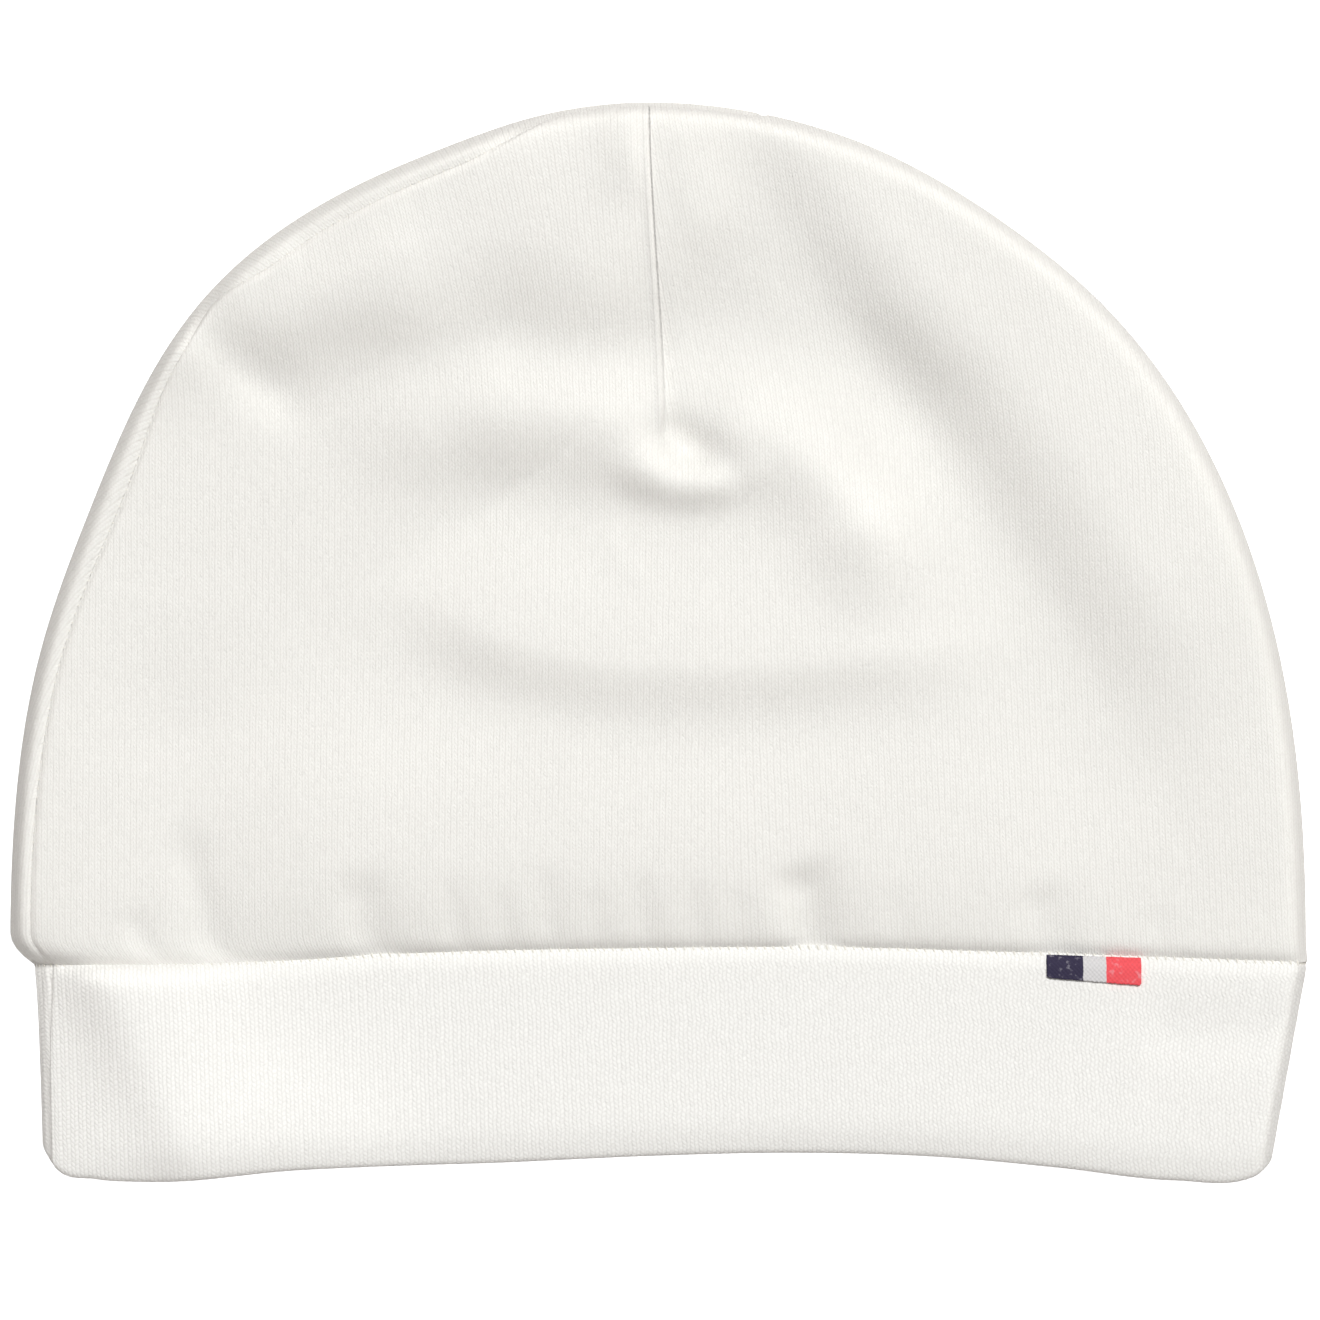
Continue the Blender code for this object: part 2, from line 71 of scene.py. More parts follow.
# %% The camera
PIXEL = 0.0001353
PICTURE = 1320
RIM_HEIGHT = 0.0028
VIEW_MIDDLE = (0.000135, -0.0025)
LENS = 200.0
SENSOR = 36.0
NEAREST = 0.01
FARTHEST = 20.0


def make_camera():
    """A camera that looks straight down, and its distance from the hat's rim."""
    data = bpy.data.cameras.new("camera")
    data.lens = LENS
    data.sensor_width = SENSOR
    data.clip_start = NEAREST
    data.clip_end = FARTHEST
    distance = PIXEL * PICTURE * LENS / SENSOR
    camera = bpy.data.objects.new("camera", data)
    camera.location = (*VIEW_MIDDLE, RIM_HEIGHT + distance)
    bpy.context.collection.objects.link(camera)
    bpy.context.scene.camera = camera
    return distance


print("camera distance in m", round(make_camera(), 3))

# %% [markdown]
# ## The crown's outline
#
# Laid flat, the crown is half an oval, a little fuller than an ellipse, with a few soft kinks
# where the cloth doesn't lie quite evenly. It could be traced point by point. A superellipse
# takes two numbers instead, and each kink is one row of a table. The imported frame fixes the
# sizes, and the cloth repeats them.

# %% The outline
CROWN_WIDTH = 0.1755
CROWN_HEIGHT = 0.1160
SIDE_CURVE = 1.95
TOP_CURVE = 2.46
SOLVING_STEPS = 12
TINY = 1e-9
EDGE_STEPS = 400

# A kink's turn and spread are in degrees, and its push is a share of the edge's reach.
Kink = namedtuple("Kink", "turn spread push")
OUTLINE_KINKS = (
    Kink(turn=30, spread=9, push=-0.010),
    Kink(turn=48, spread=11, push=0.013),
    Kink(turn=71, spread=9, push=-0.007),
    Kink(turn=122, spread=10, push=-0.006),
)


def outline(turn):
    """The crown's edge seen from above, by radians of turn from the left end of the seam."""
    across = np.abs(np.cos(turn)) + TINY
    upwards = np.abs(np.sin(turn)) + TINY
    reach = np.ones_like(turn)
    # Newton's steps towards the reach at which side and top add up to 1.
    for _ in range(SOLVING_STEPS):
        side = (reach * across) ** SIDE_CURVE
        top = (reach * upwards) ** TOP_CURVE
        reach = reach - reach * (side + top - 1) / (SIDE_CURVE * side + TOP_CURVE * top)
    for kink in OUTLINE_KINKS:
        away = (np.degrees(turn) - kink.turn) / kink.spread
        reach = reach * (1 + kink.push * np.exp(-(away**2)))
    return -reach * np.cos(turn) * CROWN_WIDTH / 2, reach * np.sin(turn) * CROWN_HEIGHT


rim_x, rim_y = outline(np.linspace(0.0, math.pi, EDGE_STEPS))
crown_area = float(abs(np.sum(rim_x[:-1] * rim_y[1:] - rim_x[1:] * rim_y[:-1])) / 2)
print("crown in mm", round(np.ptp(rim_x) * 1000, 1), round(rim_y.max() * 1000, 1))
print("panel area in m2", round(crown_area, 5))

# %% [markdown]
# ## The rolled edge
#
# Soft cloth has no sharp edge. It rolls over on a small radius and then rises towards the middle.
# A Bevel modifier would round the edge too, but it doesn't say how far along the cloth a point
# lies, and the knit needs that. So each point has a path, which is its distance along the cloth
# from the outermost line, and the roll turns the path into an inset and a height.

# %% The roll and the rise
RIM_RADIUS = 0.0020
RIM_SLOPE = math.radians(75)
SMALL_TURN = 1e-4


def smooth(t):
    """A soft step from 0 to 1."""
    t = np.clip(t, 0.0, 1.0)
    return t * t * (3.0 - 2.0 * t)


def soft_limit(t):
    """Goes up with t and levels off at 1."""
    return t / (1 + t**4) ** 0.25


def square_reach(turn):
    """The distance from the middle of the band seam to the edge, square to the edge."""
    x, y = outline(turn)
    x0, y0 = outline(turn - SMALL_TURN)
    x1, y1 = outline(turn + SMALL_TURN)
    return np.abs((x1 - x0) * y - (y1 - y0) * x) / np.hypot(x1 - x0, y1 - y0)


def roll(path):
    """Inset, height and the path left above the roll, for a path that is + on top."""
    last = math.pi / 2 - RIM_SLOPE
    turn = np.clip(path / RIM_RADIUS, -math.pi / 2, last)
    above = np.maximum(path - last * RIM_RADIUS, 0.0)
    below = np.maximum(-path - RIM_RADIUS * math.pi / 2, 0.0)
    inset = RIM_RADIUS * (1 - np.cos(turn)) + above + below
    return inset, RIM_RADIUS * (1 + np.sin(turn)), above


def roll_path(inset):
    """The path to a signed inset: + is seen on top of the roll, - is hidden under it."""
    size = np.abs(inset)
    turn = np.arccos(np.clip(1 - size / RIM_RADIUS, 0.0, 1.0))
    return np.sign(inset) * (turn * RIM_RADIUS + np.maximum(size - RIM_RADIUS, 0.0))


def rise(above, puff):
    """The height of the top sheet over the roll, with the roll's slope at its start."""
    return puff * soft_limit(above * math.tan(RIM_SLOPE) / puff)


roll_end = [round(float(part) * 1000, 2) for part in roll(np.array(2 * RIM_RADIUS))]
print("inset, height and path above the roll in mm", roll_end)

# %% [markdown]
# ## Where the seams run
#
# Two seams show. The one between the panels follows the edge, and on the left it comes over to
# the front. The one between crown and band runs across and is a little higher in the middle. A
# curve object could be drawn for each. A table of two columns can be asked for its value at any
# place instead, so the two cloths beside a seam share it and can't drift apart.

# %% Curves through short tables
def between_rows(rows, x):
    """The rows of a two-column table on either side of x, and where x is between them."""
    places = np.array([row[0] for row in rows])
    values = np.array([row[1] for row in rows])
    x = np.clip(x, places[0], places[-1])
    i = np.clip(np.searchsorted(places, x) - 1, 0, len(rows) - 2)
    step = places[i + 1] - places[i]
    return places, values, i, step, (x - places[i]) / step


def soft_steps(rows, x):
    """The value of a two-column table at x, with a soft step from each row to the next."""
    _, values, i, _, t = between_rows(rows, x)
    return values[i] + (values[i + 1] - values[i]) * smooth(t)


def curve_through(rows, x):
    """The value of a two-column table at x, on a smooth curve through its rows."""
    places, values, i, step, t = between_rows(rows, x)
    slopes = np.gradient(values, places)
    start = (2 * t**3 - 3 * t**2 + 1) * values[i] + (t**3 - 2 * t**2 + t) * step * slopes[i]
    end = (3 * t**2 - 2 * t**3) * values[i + 1] + (t**3 - t**2) * step * slopes[i + 1]
    return start + end


print("half way from 0 to 4", float(curve_through(((0, 0), (1, 4)), 0.5)))

# %% The seam between the panels
SEAM_INSET = 0.0028

# A turn is in degrees, and an inset is a share of SEAM_INSET: + on the front, - underneath.
Inset = namedtuple("Inset", "turn inset")
PANEL_SEAM = (
    Inset(turn=0, inset=0.85),
    Inset(turn=20, inset=0.95),
    Inset(turn=34, inset=1.20),
    Inset(turn=43, inset=0.75),
    Inset(turn=48, inset=0.30),
    Inset(turn=54, inset=1.05),
    Inset(turn=72, inset=1.10),
    Inset(turn=83, inset=0.10),
    Inset(turn=98, inset=0.12),
    Inset(turn=107, inset=-0.80),
    Inset(turn=125, inset=-1.20),
    Inset(turn=180, inset=-1.20),
)


def panel_seam_path(turn):
    """The path of the seam between the panels."""
    return roll_path(soft_steps(PANEL_SEAM, np.degrees(turn)) * SEAM_INSET)


print("panel seam at the left in mm", round(float(panel_seam_path(0.0)) * 1000, 2))

# %% The seam between crown and band
# Across is a share of half the crown's width, and a lift is a share of its height.
Lift = namedtuple("Lift", "across lift")
BAND_SEAM = (
    Lift(across=-1.00, lift=-0.006),
    Lift(across=-0.68, lift=-0.007),
    Lift(across=-0.40, lift=0.006),
    Lift(across=0.00, lift=0.013),
    Lift(across=0.25, lift=0.014),
    Lift(across=0.55, lift=0.008),
    Lift(across=1.00, lift=-0.004),
)


def band_seam_line(x):
    """The height of the band seam in the picture."""
    return curve_through(BAND_SEAM, x / (CROWN_WIDTH / 2)) * CROWN_HEIGHT


print("band seam in the middle in mm", round(float(band_seam_line(0.0)) * 1000, 2))

# %% [markdown]
# ## The left flank
#
# The band is closed into a ring by a seam near its left edge. The cloth stands up steeply as far
# as that seam and climbs slowly beyond it, and the crown's left end follows the band. A second
# roll could be modelled there, but a steep ramp and a soft climb are enough to catch the light in
# the same way.

# %% The left side's rise
CLOSING_PLACE = 0.0011
CLOSING_FLARE = 0.0013
CLOSING_RISE = 0.0026

# Down is a share of the way from the seam to the mouth.
Flank = namedtuple("Flank", "down width")
LEFT_FLANK = (
    Flank(down=0.0, width=0.0060),
    Flank(down=0.5, width=0.0110),
    Flank(down=1.0, width=0.0150),
)


def closing_place(down):
    """How far in from the band's left edge its closing seam is."""
    return CLOSING_PLACE + CLOSING_FLARE * (1 - down) ** 3


def left_rise(above, down, puff):
    """The height of the band's left side: a steep edge up to its closing seam, then a flank."""
    place = closing_place(down)
    edge = CLOSING_RISE * np.clip(above / place, 0.0, 1.0)
    beyond = np.maximum(above - place, 0.0)
    return edge + (puff - CLOSING_RISE) * soft_limit(beyond / curve_through(LEFT_FLANK, down))


closing_ends = [round(closing_place(down) * 1000, 2) for down in (0, 1)]
print("closing seam in from the edge at the seam and the mouth in mm", closing_ends)

# %% [markdown]
# ## The folds
#
# Soft jersey keeps a few broad folds when it is laid down, and it is pulled into small puckers
# where it is sewn. A cloth simulation would make folds too, but not where the picture has them.
# Here each is one row of a table: a line from start to end that is drawn towards a middle point,
# how far the fold falls away above and below that line, and its height.

# %% The relief of a table of folds
# The points are shares of half the width and of the height, and the other numbers are in mm.
Fold = namedtuple("Fold", "name start middle end above below height")
FOLD_FADE = 0.30
FOLD_SAMPLES = 65


def fold_relief(folds, x, y, width, height):
    """The height that a table of folds adds at x, y. Their reaches and heights are in mm."""
    relief = np.zeros_like(x)
    t = np.linspace(0.0, 1.0, FOLD_SAMPLES)[:, None]
    for fold in folds:
        start, middle, end = (np.array(point) for point in (fold.start, fold.middle, fold.end))
        spine = ((1 - t) ** 2 * start + 2 * t * (1 - t) * middle + t**2 * end) * (width / 2, height)
        nearest = np.hypot(x[:, None] - spine[:, 0], y[:, None] - spine[:, 1]).argmin(axis=1)
        inside = np.clip(nearest, 1, FOLD_SAMPLES - 2)
        way = spine[inside + 1] - spine[inside - 1]
        step = np.hypot(way[:, 0], way[:, 1]) / 2
        way = way / (2 * step[:, None])
        dx = x - spine[nearest, 0]
        dy = y - spine[nearest, 1]
        aside = way[:, 0] * dy - way[:, 1] * dx
        along = (nearest + (way[:, 0] * dx + way[:, 1] * dy) / step) / (FOLD_SAMPLES - 1)
        reach = np.where(aside > 0, fold.above, fold.below) / 1000
        fade = smooth(along / FOLD_FADE) * smooth((1 - along) / FOLD_FADE)
        relief += fold.height / 1000 * fade * np.exp(-((aside / reach) ** 2))
    return relief


one_fold = Fold("one_fold", (-0.5, 0.5), (0.0, 0.5), (0.5, 0.5), 5.0, 5.0, 2.0)
on_its_line = fold_relief([one_fold], np.zeros(1), np.array([0.05]), 0.1, 0.1)
print("a fold of 2 mm on its line in mm", round(float(on_its_line[0]) * 1000, 2))

# %% The folds of the crown
CROWN_FOLDS = (
    Fold("top_fall", (-0.570, 0.933), (0.001, 1.225), (0.756, 0.793), 6.0, 26.0, 3.60),
    Fold("brow", (-0.613, 0.744), (-0.184, 0.968), (0.032, 0.695), 26.0, 12.5, 5.30),
    Fold("brow_hollow", (-0.554, 0.671), (-0.215, 0.747), (0.047, 0.630), 8.0, 8.0, -1.60),
    Fold("shoulder", (-0.955, 0.684), (-0.639, 0.793), (-0.184, 0.744), 9.0, 7.2, 3.40),
    Fold("side_crease", (-0.786, 0.814), (-0.685, 0.718), (-0.508, 0.607), 5.0, 3.4, -1.80),
    Fold("side_bump", (-0.701, 0.770), (-0.608, 0.814), (-0.536, 0.823), 3.5, 3.0, 0.70),
    Fold("upper_hollow", (-0.092, 0.648), (0.217, 0.686), (0.448, 0.467), 20.0, 8.5, -1.50),
    Fold("middle_left", (-0.524, 0.595), (-0.223, 0.691), (0.062, 0.579), 10.0, 9.2, 3.30),
    Fold("middle_left_hollow", (-0.446, 0.531), (-0.246, 0.531), (0.001, 0.496), 6.0, 8.0, -0.60),
    Fold("dart_bump", (-0.092, 0.602), (0.032, 0.502), (0.158, 0.595), 3.8, 3.2, 3.00),
    Fold("dart_crease", (-0.030, 0.630), (0.053, 0.576), (0.149, 0.555), 3.0, 2.8, -2.10),
    Fold("middle_right", (-0.073, 0.625), (0.340, 0.646), (0.340, 0.373), 8.5, 7.6, 4.80),
    Fold("diagonal_crest", (0.298, 0.912), (0.673, 0.583), (0.892, 0.263), 34.0, 10.0, 2.70),
    Fold("diagonal_hollow", (0.190, 0.812), (0.550, 0.476), (0.827, 0.093), 9.0, 13.0, -2.30),
    Fold("diagonal_top_crest", (0.178, 1.036), (0.301, 0.849), (0.520, 0.616), 6.0, 5.0, 0.80),
    Fold("diagonal_top_hollow", (0.090, 0.999), (0.201, 0.824), (0.428, 0.567), 5.0, 6.0, -0.80),
    Fold("top_left", (-0.030, 1.120), (-0.036, 0.998), (-0.030, 0.858), 2.0, 4.0, 1.70),
    Fold("top_right", (0.047, 1.004), (0.047, 0.910), (0.093, 0.793), 7.0, 3.0, 0.60),
    Fold("low_crest", (-0.403, 0.476), (-0.235, 0.243), (0.679, 0.406), 18.0, 6.2, 3.30),
    Fold("low_swell", (-1.048, 0.181), (-0.153, 0.181), (0.803, 0.181), 13.0, 30.0, 1.60),
    Fold("middle_streak", (-0.107, 0.502), (-0.069, 0.467), (-0.015, 0.420), 1.8, 1.8, 0.20),
    Fold("seam_shoulder", (-1.048, 0.088), (0.001, 0.088), (1.034, 0.079), 20.0, 12.0, 0.80),
    Fold("seam_fall", (-0.724, 0.088), (-0.153, 0.099), (0.433, 0.088), 12.0, 8.0, 0.60),
    Fold("middle_left_core", (-0.354, 0.616), (-0.153, 0.665), (0.055, 0.593), 8.0, 6.8, 1.80),
    Fold("diagonal_tail", (0.463, 0.770), (0.726, 0.467), (1.034, 0.000), 20.0, 16.0, 1.10),
    Fold("right_fall", (0.217, 0.362), (0.540, 0.362), (0.911, 0.222), 14.0, 10.0, 0.70),
)
SEAM_PUCKERS = (
    Fold("left_wide", (-0.763, 0.420), (-0.709, 0.140), (-0.650, -0.117), 11.0, 9.0, -1.15),
    Fold("left_core", (-0.730, 0.175), (-0.705, 0.076), (-0.659, -0.047), 2.6, 2.4, -0.80),
    Fold("corner", (-0.820, 0.070), (-0.786, 0.029), (-0.763, -0.029), 2.0, 1.8, -0.55),
    Fold("left", (-0.465, 0.110), (-0.443, 0.041), (-0.434, -0.070), 3.4, 3.0, -1.15),
    Fold("middle_1", (-0.329, 0.105), (-0.308, 0.041), (-0.305, -0.029), 1.8, 1.8, -0.42),
    Fold("middle_2", (-0.246, 0.088), (-0.234, 0.035), (-0.231, -0.029), 1.5, 1.8, -0.30),
    Fold("middle_3", (-0.180, 0.110), (-0.166, 0.041), (-0.161, -0.029), 1.9, 1.8, -0.46),
    Fold("middle_4", (-0.101, 0.084), (-0.092, 0.035), (-0.089, -0.029), 1.5, 1.6, -0.30),
    Fold("middle_5", (-0.036, 0.100), (-0.021, 0.041), (-0.015, -0.029), 1.9, 1.6, -0.42),
    Fold("middle_6", (0.047, 0.093), (0.059, 0.041), (0.066, -0.029), 1.7, 2.0, -0.46),
    Fold("middle_7", (0.116, 0.082), (0.130, 0.035), (0.135, -0.029), 1.6, 1.6, -0.28),
    Fold("right_deep", (0.198, 0.107), (0.235, 0.053), (0.244, -0.082), 4.4, 2.8, -2.00),
    Fold("right_1", (0.352, 0.082), (0.371, 0.035), (0.377, -0.029), 2.0, 2.0, -0.28),
    Fold("right_2", (0.571, 0.085), (0.602, 0.035), (0.618, -0.029), 3.6, 3.2, -0.80),
    Fold("right_3", (0.756, 0.064), (0.775, 0.029), (0.781, -0.029), 2.2, 2.2, -0.28),
)
print("folds and puckers", len(CROWN_FOLDS), len(SEAM_PUCKERS))

# %% [markdown]
# ## The dart
#
# A dart takes a wedge of cloth out of the crown, from the top to a point. Its left lip stands up
# as a thin ridge, and the cloth sinks beside it, more so towards the point. A bump map could draw
# it, but then it would vanish in a view from the side. So it is real relief, made of two bell
# curves across its line.

# %% The dart's lip and groove
DART_END = 0.603
DART_FADE = 0.015
DART_AT_TOP = -0.0013
DART_AT_FOOT = 0.0008
LIP_HEIGHT = 0.00042
LIP_WIDTH = 0.00045
GROOVE_DEPTH = 0.00060
GROOVE_AT_TOP = 0.22
GROOVE_WIDTH = 0.00055
GROOVE_SPREAD = 3.0


def dart_line(up):
    """Where the dart is across the crown, at a share of the way up."""
    return DART_AT_TOP + (DART_AT_FOOT - DART_AT_TOP) * smooth((1 - up) / (1 - DART_END))


def dart_relief(x, up):
    """The lip and the groove of the dart, for x measured from its line."""
    shown = smooth((up - DART_END) / DART_FADE)
    to_foot = smooth((1 - up) / (1 - DART_END))
    lip = LIP_HEIGHT * np.exp(-(((x + LIP_WIDTH) / LIP_WIDTH) ** 2))
    width = np.where(x > 0, GROOVE_WIDTH * (1 + GROOVE_SPREAD * to_foot**3), LIP_WIDTH / 2)
    depth = GROOVE_DEPTH * (GROOVE_AT_TOP + (1 - GROOVE_AT_TOP) * to_foot)
    return shown * (lip - depth * np.exp(-((x / width) ** 2)))


print("dart length in mm", round((1 - DART_END) * CROWN_HEIGHT * 1000, 1))

# %% [markdown]
# ## The crown's surface
#
# Both panels are parts of one soft shell, so every point has a turn round the edge and a path in
# from its outermost line, + over the top and - underneath. A subdivided box could be pushed into
# this form. One function for the place of any point serves both panels, their seam and its
# stitches instead, and so they meet exactly.

# %% The top sheet
BAND_PUFF = 0.0062
SEAM_DIP = 0.0005
CROWN_PUFF = 0.0064
CROWN_DIP_REACH = 0.0007
LEFT_HEM_REACH = 0.0035
RIM_FADE = 0.0020
SEAM_FADE = 0.0038
PUCKER_FADE = 0.0010
DART_RIM_FADE = 0.00060
HEM_DROP = 0.00050
HEM_REACH = 0.00120
CLOTH_WAVES = 0.00006
WAVE_SIZE = 0.0060
WAVE_LAYER = 0.37


def cloth_noise(x, y, size, layer):
    """Smooth noise with lumps of one size, such as the unevenness that any laid cloth has."""
    return np.array([noise.noise(Vector((a / size, b / size, layer))) for a, b in zip(x, y)])


def top_sheet(x, y, above):
    """The height of the crown's top over its roll, with its folds, puckers and dart."""
    seam_puff = BAND_PUFF - SEAM_DIP
    puff = seam_puff + (CROWN_PUFF - seam_puff) * (1 - np.exp(-y / CROWN_DIP_REACH))
    left_hem = np.where(x < 0, np.exp(-y / LEFT_HEM_REACH), 0.0)
    flank = left_rise(above, 0.0, seam_puff) - rise(above, seam_puff)
    relief = fold_relief(CROWN_FOLDS, x, y, CROWN_WIDTH, CROWN_HEIGHT)
    relief = relief + cloth_noise(x, y, WAVE_SIZE, WAVE_LAYER) * CLOTH_WAVES
    puckers = fold_relief(SEAM_PUCKERS, x, y, CROWN_WIDTH, CROWN_HEIGHT)
    relief = relief * (1 - np.exp(-y / SEAM_FADE)) + puckers * (1 - np.exp(-y / PUCKER_FADE))
    dart = dart_relief(x, y / CROWN_HEIGHT) * (1 - np.exp(-above / DART_RIM_FADE))
    hem = HEM_DROP * np.exp(-((y / HEM_REACH) ** 2)) * smooth(above / HEM_REACH)
    return rise(above, puff) + flank * left_hem + relief * soft_limit(above / RIM_FADE) + dart - hem


middle_top = top_sheet(np.zeros(1), np.array([CROWN_HEIGHT / 2]), np.array([CROWN_HEIGHT / 2]))
print("top sheet over its roll in the middle in mm", round(float(middle_top[0]) * 1000, 2))

# %% A point of the crown
OVERHANG_LEFT = 0.0031
OVERHANG_RIGHT = -0.0002
OVERHANG_RISE = 0.0042
SEAM_GAP = 0.00012
TURN_STEP = 1e-3
PATH_STEP = 1e-4


def crown_surface(turn, path):
    """A point of the crown's outer face, by turn round its edge and path in from the edge."""
    edge_x, edge_y = outline(turn)
    inset, z, above = roll(path)
    keep = 1 - inset / square_reach(turn)
    x = edge_x * keep
    y = edge_y * keep
    z = z + top_sheet(x, y, above)

    up = y / CROWN_HEIGHT
    corner = np.clip(1 - y / OVERHANG_RISE, 0.0, 1.0)
    overhang = np.where(x < 0, OVERHANG_LEFT, OVERHANG_RIGHT)
    x = x * (1 - overhang / (CROWN_WIDTH / 2) * corner**2)
    middle = 1 - np.abs(x) / (CROWN_WIDTH / 2)
    x = x + dart_line(up) * smooth(up / DART_END) * middle
    y = y + (band_seam_line(x) + SEAM_GAP / 2) * (1 - up) ** 2
    return np.stack([x, y, z], axis=-1)


def crown_normal(turn, path):
    """The outward direction of the crown's face near its edge."""
    onwards = crown_surface(turn + TURN_STEP, path) - crown_surface(turn - TURN_STEP, path)
    inwards = crown_surface(turn, path + PATH_STEP) - crown_surface(turn, path - PATH_STEP)
    normal = np.cross(inwards, onwards)
    return normal / np.linalg.norm(normal, axis=-1, keepdims=True)


left_end = crown_surface(np.array([0.0]), np.array([0.0]))[0]
print("left end of the crown's edge in mm", [round(part * 1000, 2) for part in left_end])

# %% [markdown]
# ## Where the knit lies
#
# A knit follows the cloth, not the camera, so each panel carries its own flat plan as a UV map.
# The Unwrap command would lay the mesh flat too, but it would let the folds bend the wales. This
# plan counts in stitches instead, wales across and courses up. The roll at the edge is laid out
# flat, and right of the dart the wales lean, as the real dart makes them.

# %% Flat plans
WALE = 0.000798
COURSE = 0.00058
LEAN_RIGHT = 0.125
LEAN_LOW = 0.050
LEAN_REACH = 0.25
FAN_LEFT = 0.060
FAN_REACH = 0.35
FAN_START = 0.6


def flat_plan(turn, inset):
    """The flat place of a point whose laid-out distance in from the edge is inset."""
    edge_x, edge_y = outline(turn)
    keep = 1 - inset / square_reach(turn)
    return edge_x * keep, edge_y * keep


def front_plan(turn, path):
    """The front panel's flat plan in wales and courses."""
    spare, _, _ = roll(np.array(RIM_RADIUS * 2))
    x, y = flat_plan(turn, path - (RIM_RADIUS * 2 - spare))
    foot = DART_END * CROWN_HEIGHT
    beside = np.where(x > 0, LEAN_RIGHT, 0.0) * np.maximum(y - foot, 0.0)
    low = LEAN_LOW * smooth(x / (LEAN_REACH * CROWN_WIDTH / 2)) * np.minimum(y - foot, 0.0)
    high = np.maximum(y / CROWN_HEIGHT - FAN_START, 0) / (1 - FAN_START)
    fan = FAN_LEFT * CROWN_HEIGHT * high**2 * smooth(-x / (FAN_REACH * CROWN_WIDTH / 2))
    return np.stack([(x + beside + low + fan) / WALE, y / COURSE], axis=-1)


def back_plan(turn, path):
    """The back panel's flat plan: what is rolled to the front is laid out past the edge."""
    x, y = flat_plan(turn, RIM_RADIUS * (1 - math.pi / 2) - path)
    return np.stack([x / WALE, y / COURSE], axis=-1)


print("wales and courses of a panel", round(CROWN_WIDTH / WALE), round(CROWN_HEIGHT / COURSE))

# %% [markdown]
# ## A mesh without a pole
#
# A panel is half a disc. A fan of triangles would pinch at its middle, where it all meets in one
# point. So a grid on half a square is bent into half a disc, with rings of quads outside it that
# follow the edge.

# %% Half a disc of quads
def half_disc(columns, rows):
    """A bent grid as turn and share of the way out, with its edge as grid places."""
    x, y = np.meshgrid(columns, rows)
    out_x = x * np.sqrt(1 - y**2 / 2)
    out_y = y * np.sqrt(1 - x**2 / 2)
    turn = math.pi - np.arctan2(out_y, out_x)
    last_row, last_column = len(rows) - 1, len(columns) - 1
    edge = [(row, 0) for row in range(last_row)]
    edge += [(last_row, column) for column in range(last_column)]
    edge += [(row, last_column) for row in range(last_row, -1, -1)]
    return turn, np.hypot(out_x, out_y), edge


def quads(index):
    """The corner numbers of the quads of a grid of vertex numbers."""
    corners = (index[:-1, :-1], index[:-1, 1:], index[1:, 1:], index[1:, :-1])
    return np.stack(corners, axis=-1).reshape(-1, 4)


def make_cloth(name, points, faces, plan, plan_name="knit", plan_faces=None):
    """A mesh object from arrays, with its flat plan as a UV map.

    Where the plan is cut open and the cloth isn't, plan_faces numbers the plan's own corners.
    """
    mesh = bpy.data.meshes.new(name)
    mesh.from_pydata(points.tolist(), [], faces.tolist())
    mesh.update()
    corners = (faces if plan_faces is None else plan_faces).ravel()
    layer = mesh.uv_layers.new(name=plan_name)
    layer.uv.foreach_set("vector", plan[corners].astype(np.float32).ravel())
    mesh.shade_smooth()
    piece = bpy.data.objects.new(name, mesh)
    bpy.context.collection.objects.link(piece)
    return piece


print("corners of the quad in a grid of 0, 1 and 2, 3", quads(np.arange(4).reshape(2, 2))[0])

# %% [markdown]
# ## The two panels
#
# The panels are sewn together along the edge, and each sinks into a narrow groove there. A crease
# could be marked on one mesh, but on the real hat they are two cloths whose knits don't line up.
# So each panel is its own mesh, made from the seam inwards by the same function, and the two lie
# a hair's breadth apart.

# %% A panel from its seam inwards
PANEL_GAP = 0.00002
SEAM_DEPTH = 0.00060
SEAM_WIDTH = 0.00060
HEM_LOSS = 0.80
HEM_LOSS_REACH = 0.0030
RIM_LOSS = 0.70

# Facing is 1 for the front panel and -1 for the back, as a path is + on top and - underneath.
# Reach is the path where the rings end, and crowding draws the rings towards the seam.
Panel = namedtuple("Panel", "name facing reach rings crowding surface plan")


def seam_groove(turn, path, seam_path):
    """How deep the panels sink at their seam: less near the hem, and less right on the rim."""
    _, y = outline(turn)
    at_hem = 1 - HEM_LOSS * np.exp(-y / HEM_LOSS_REACH)
    at_rim = 1 - RIM_LOSS * np.exp(-((seam_path / RIM_RADIUS) ** 2))
    return SEAM_DEPTH * at_hem * at_rim * np.exp(-(((path - seam_path) / SEAM_WIDTH) ** 2))


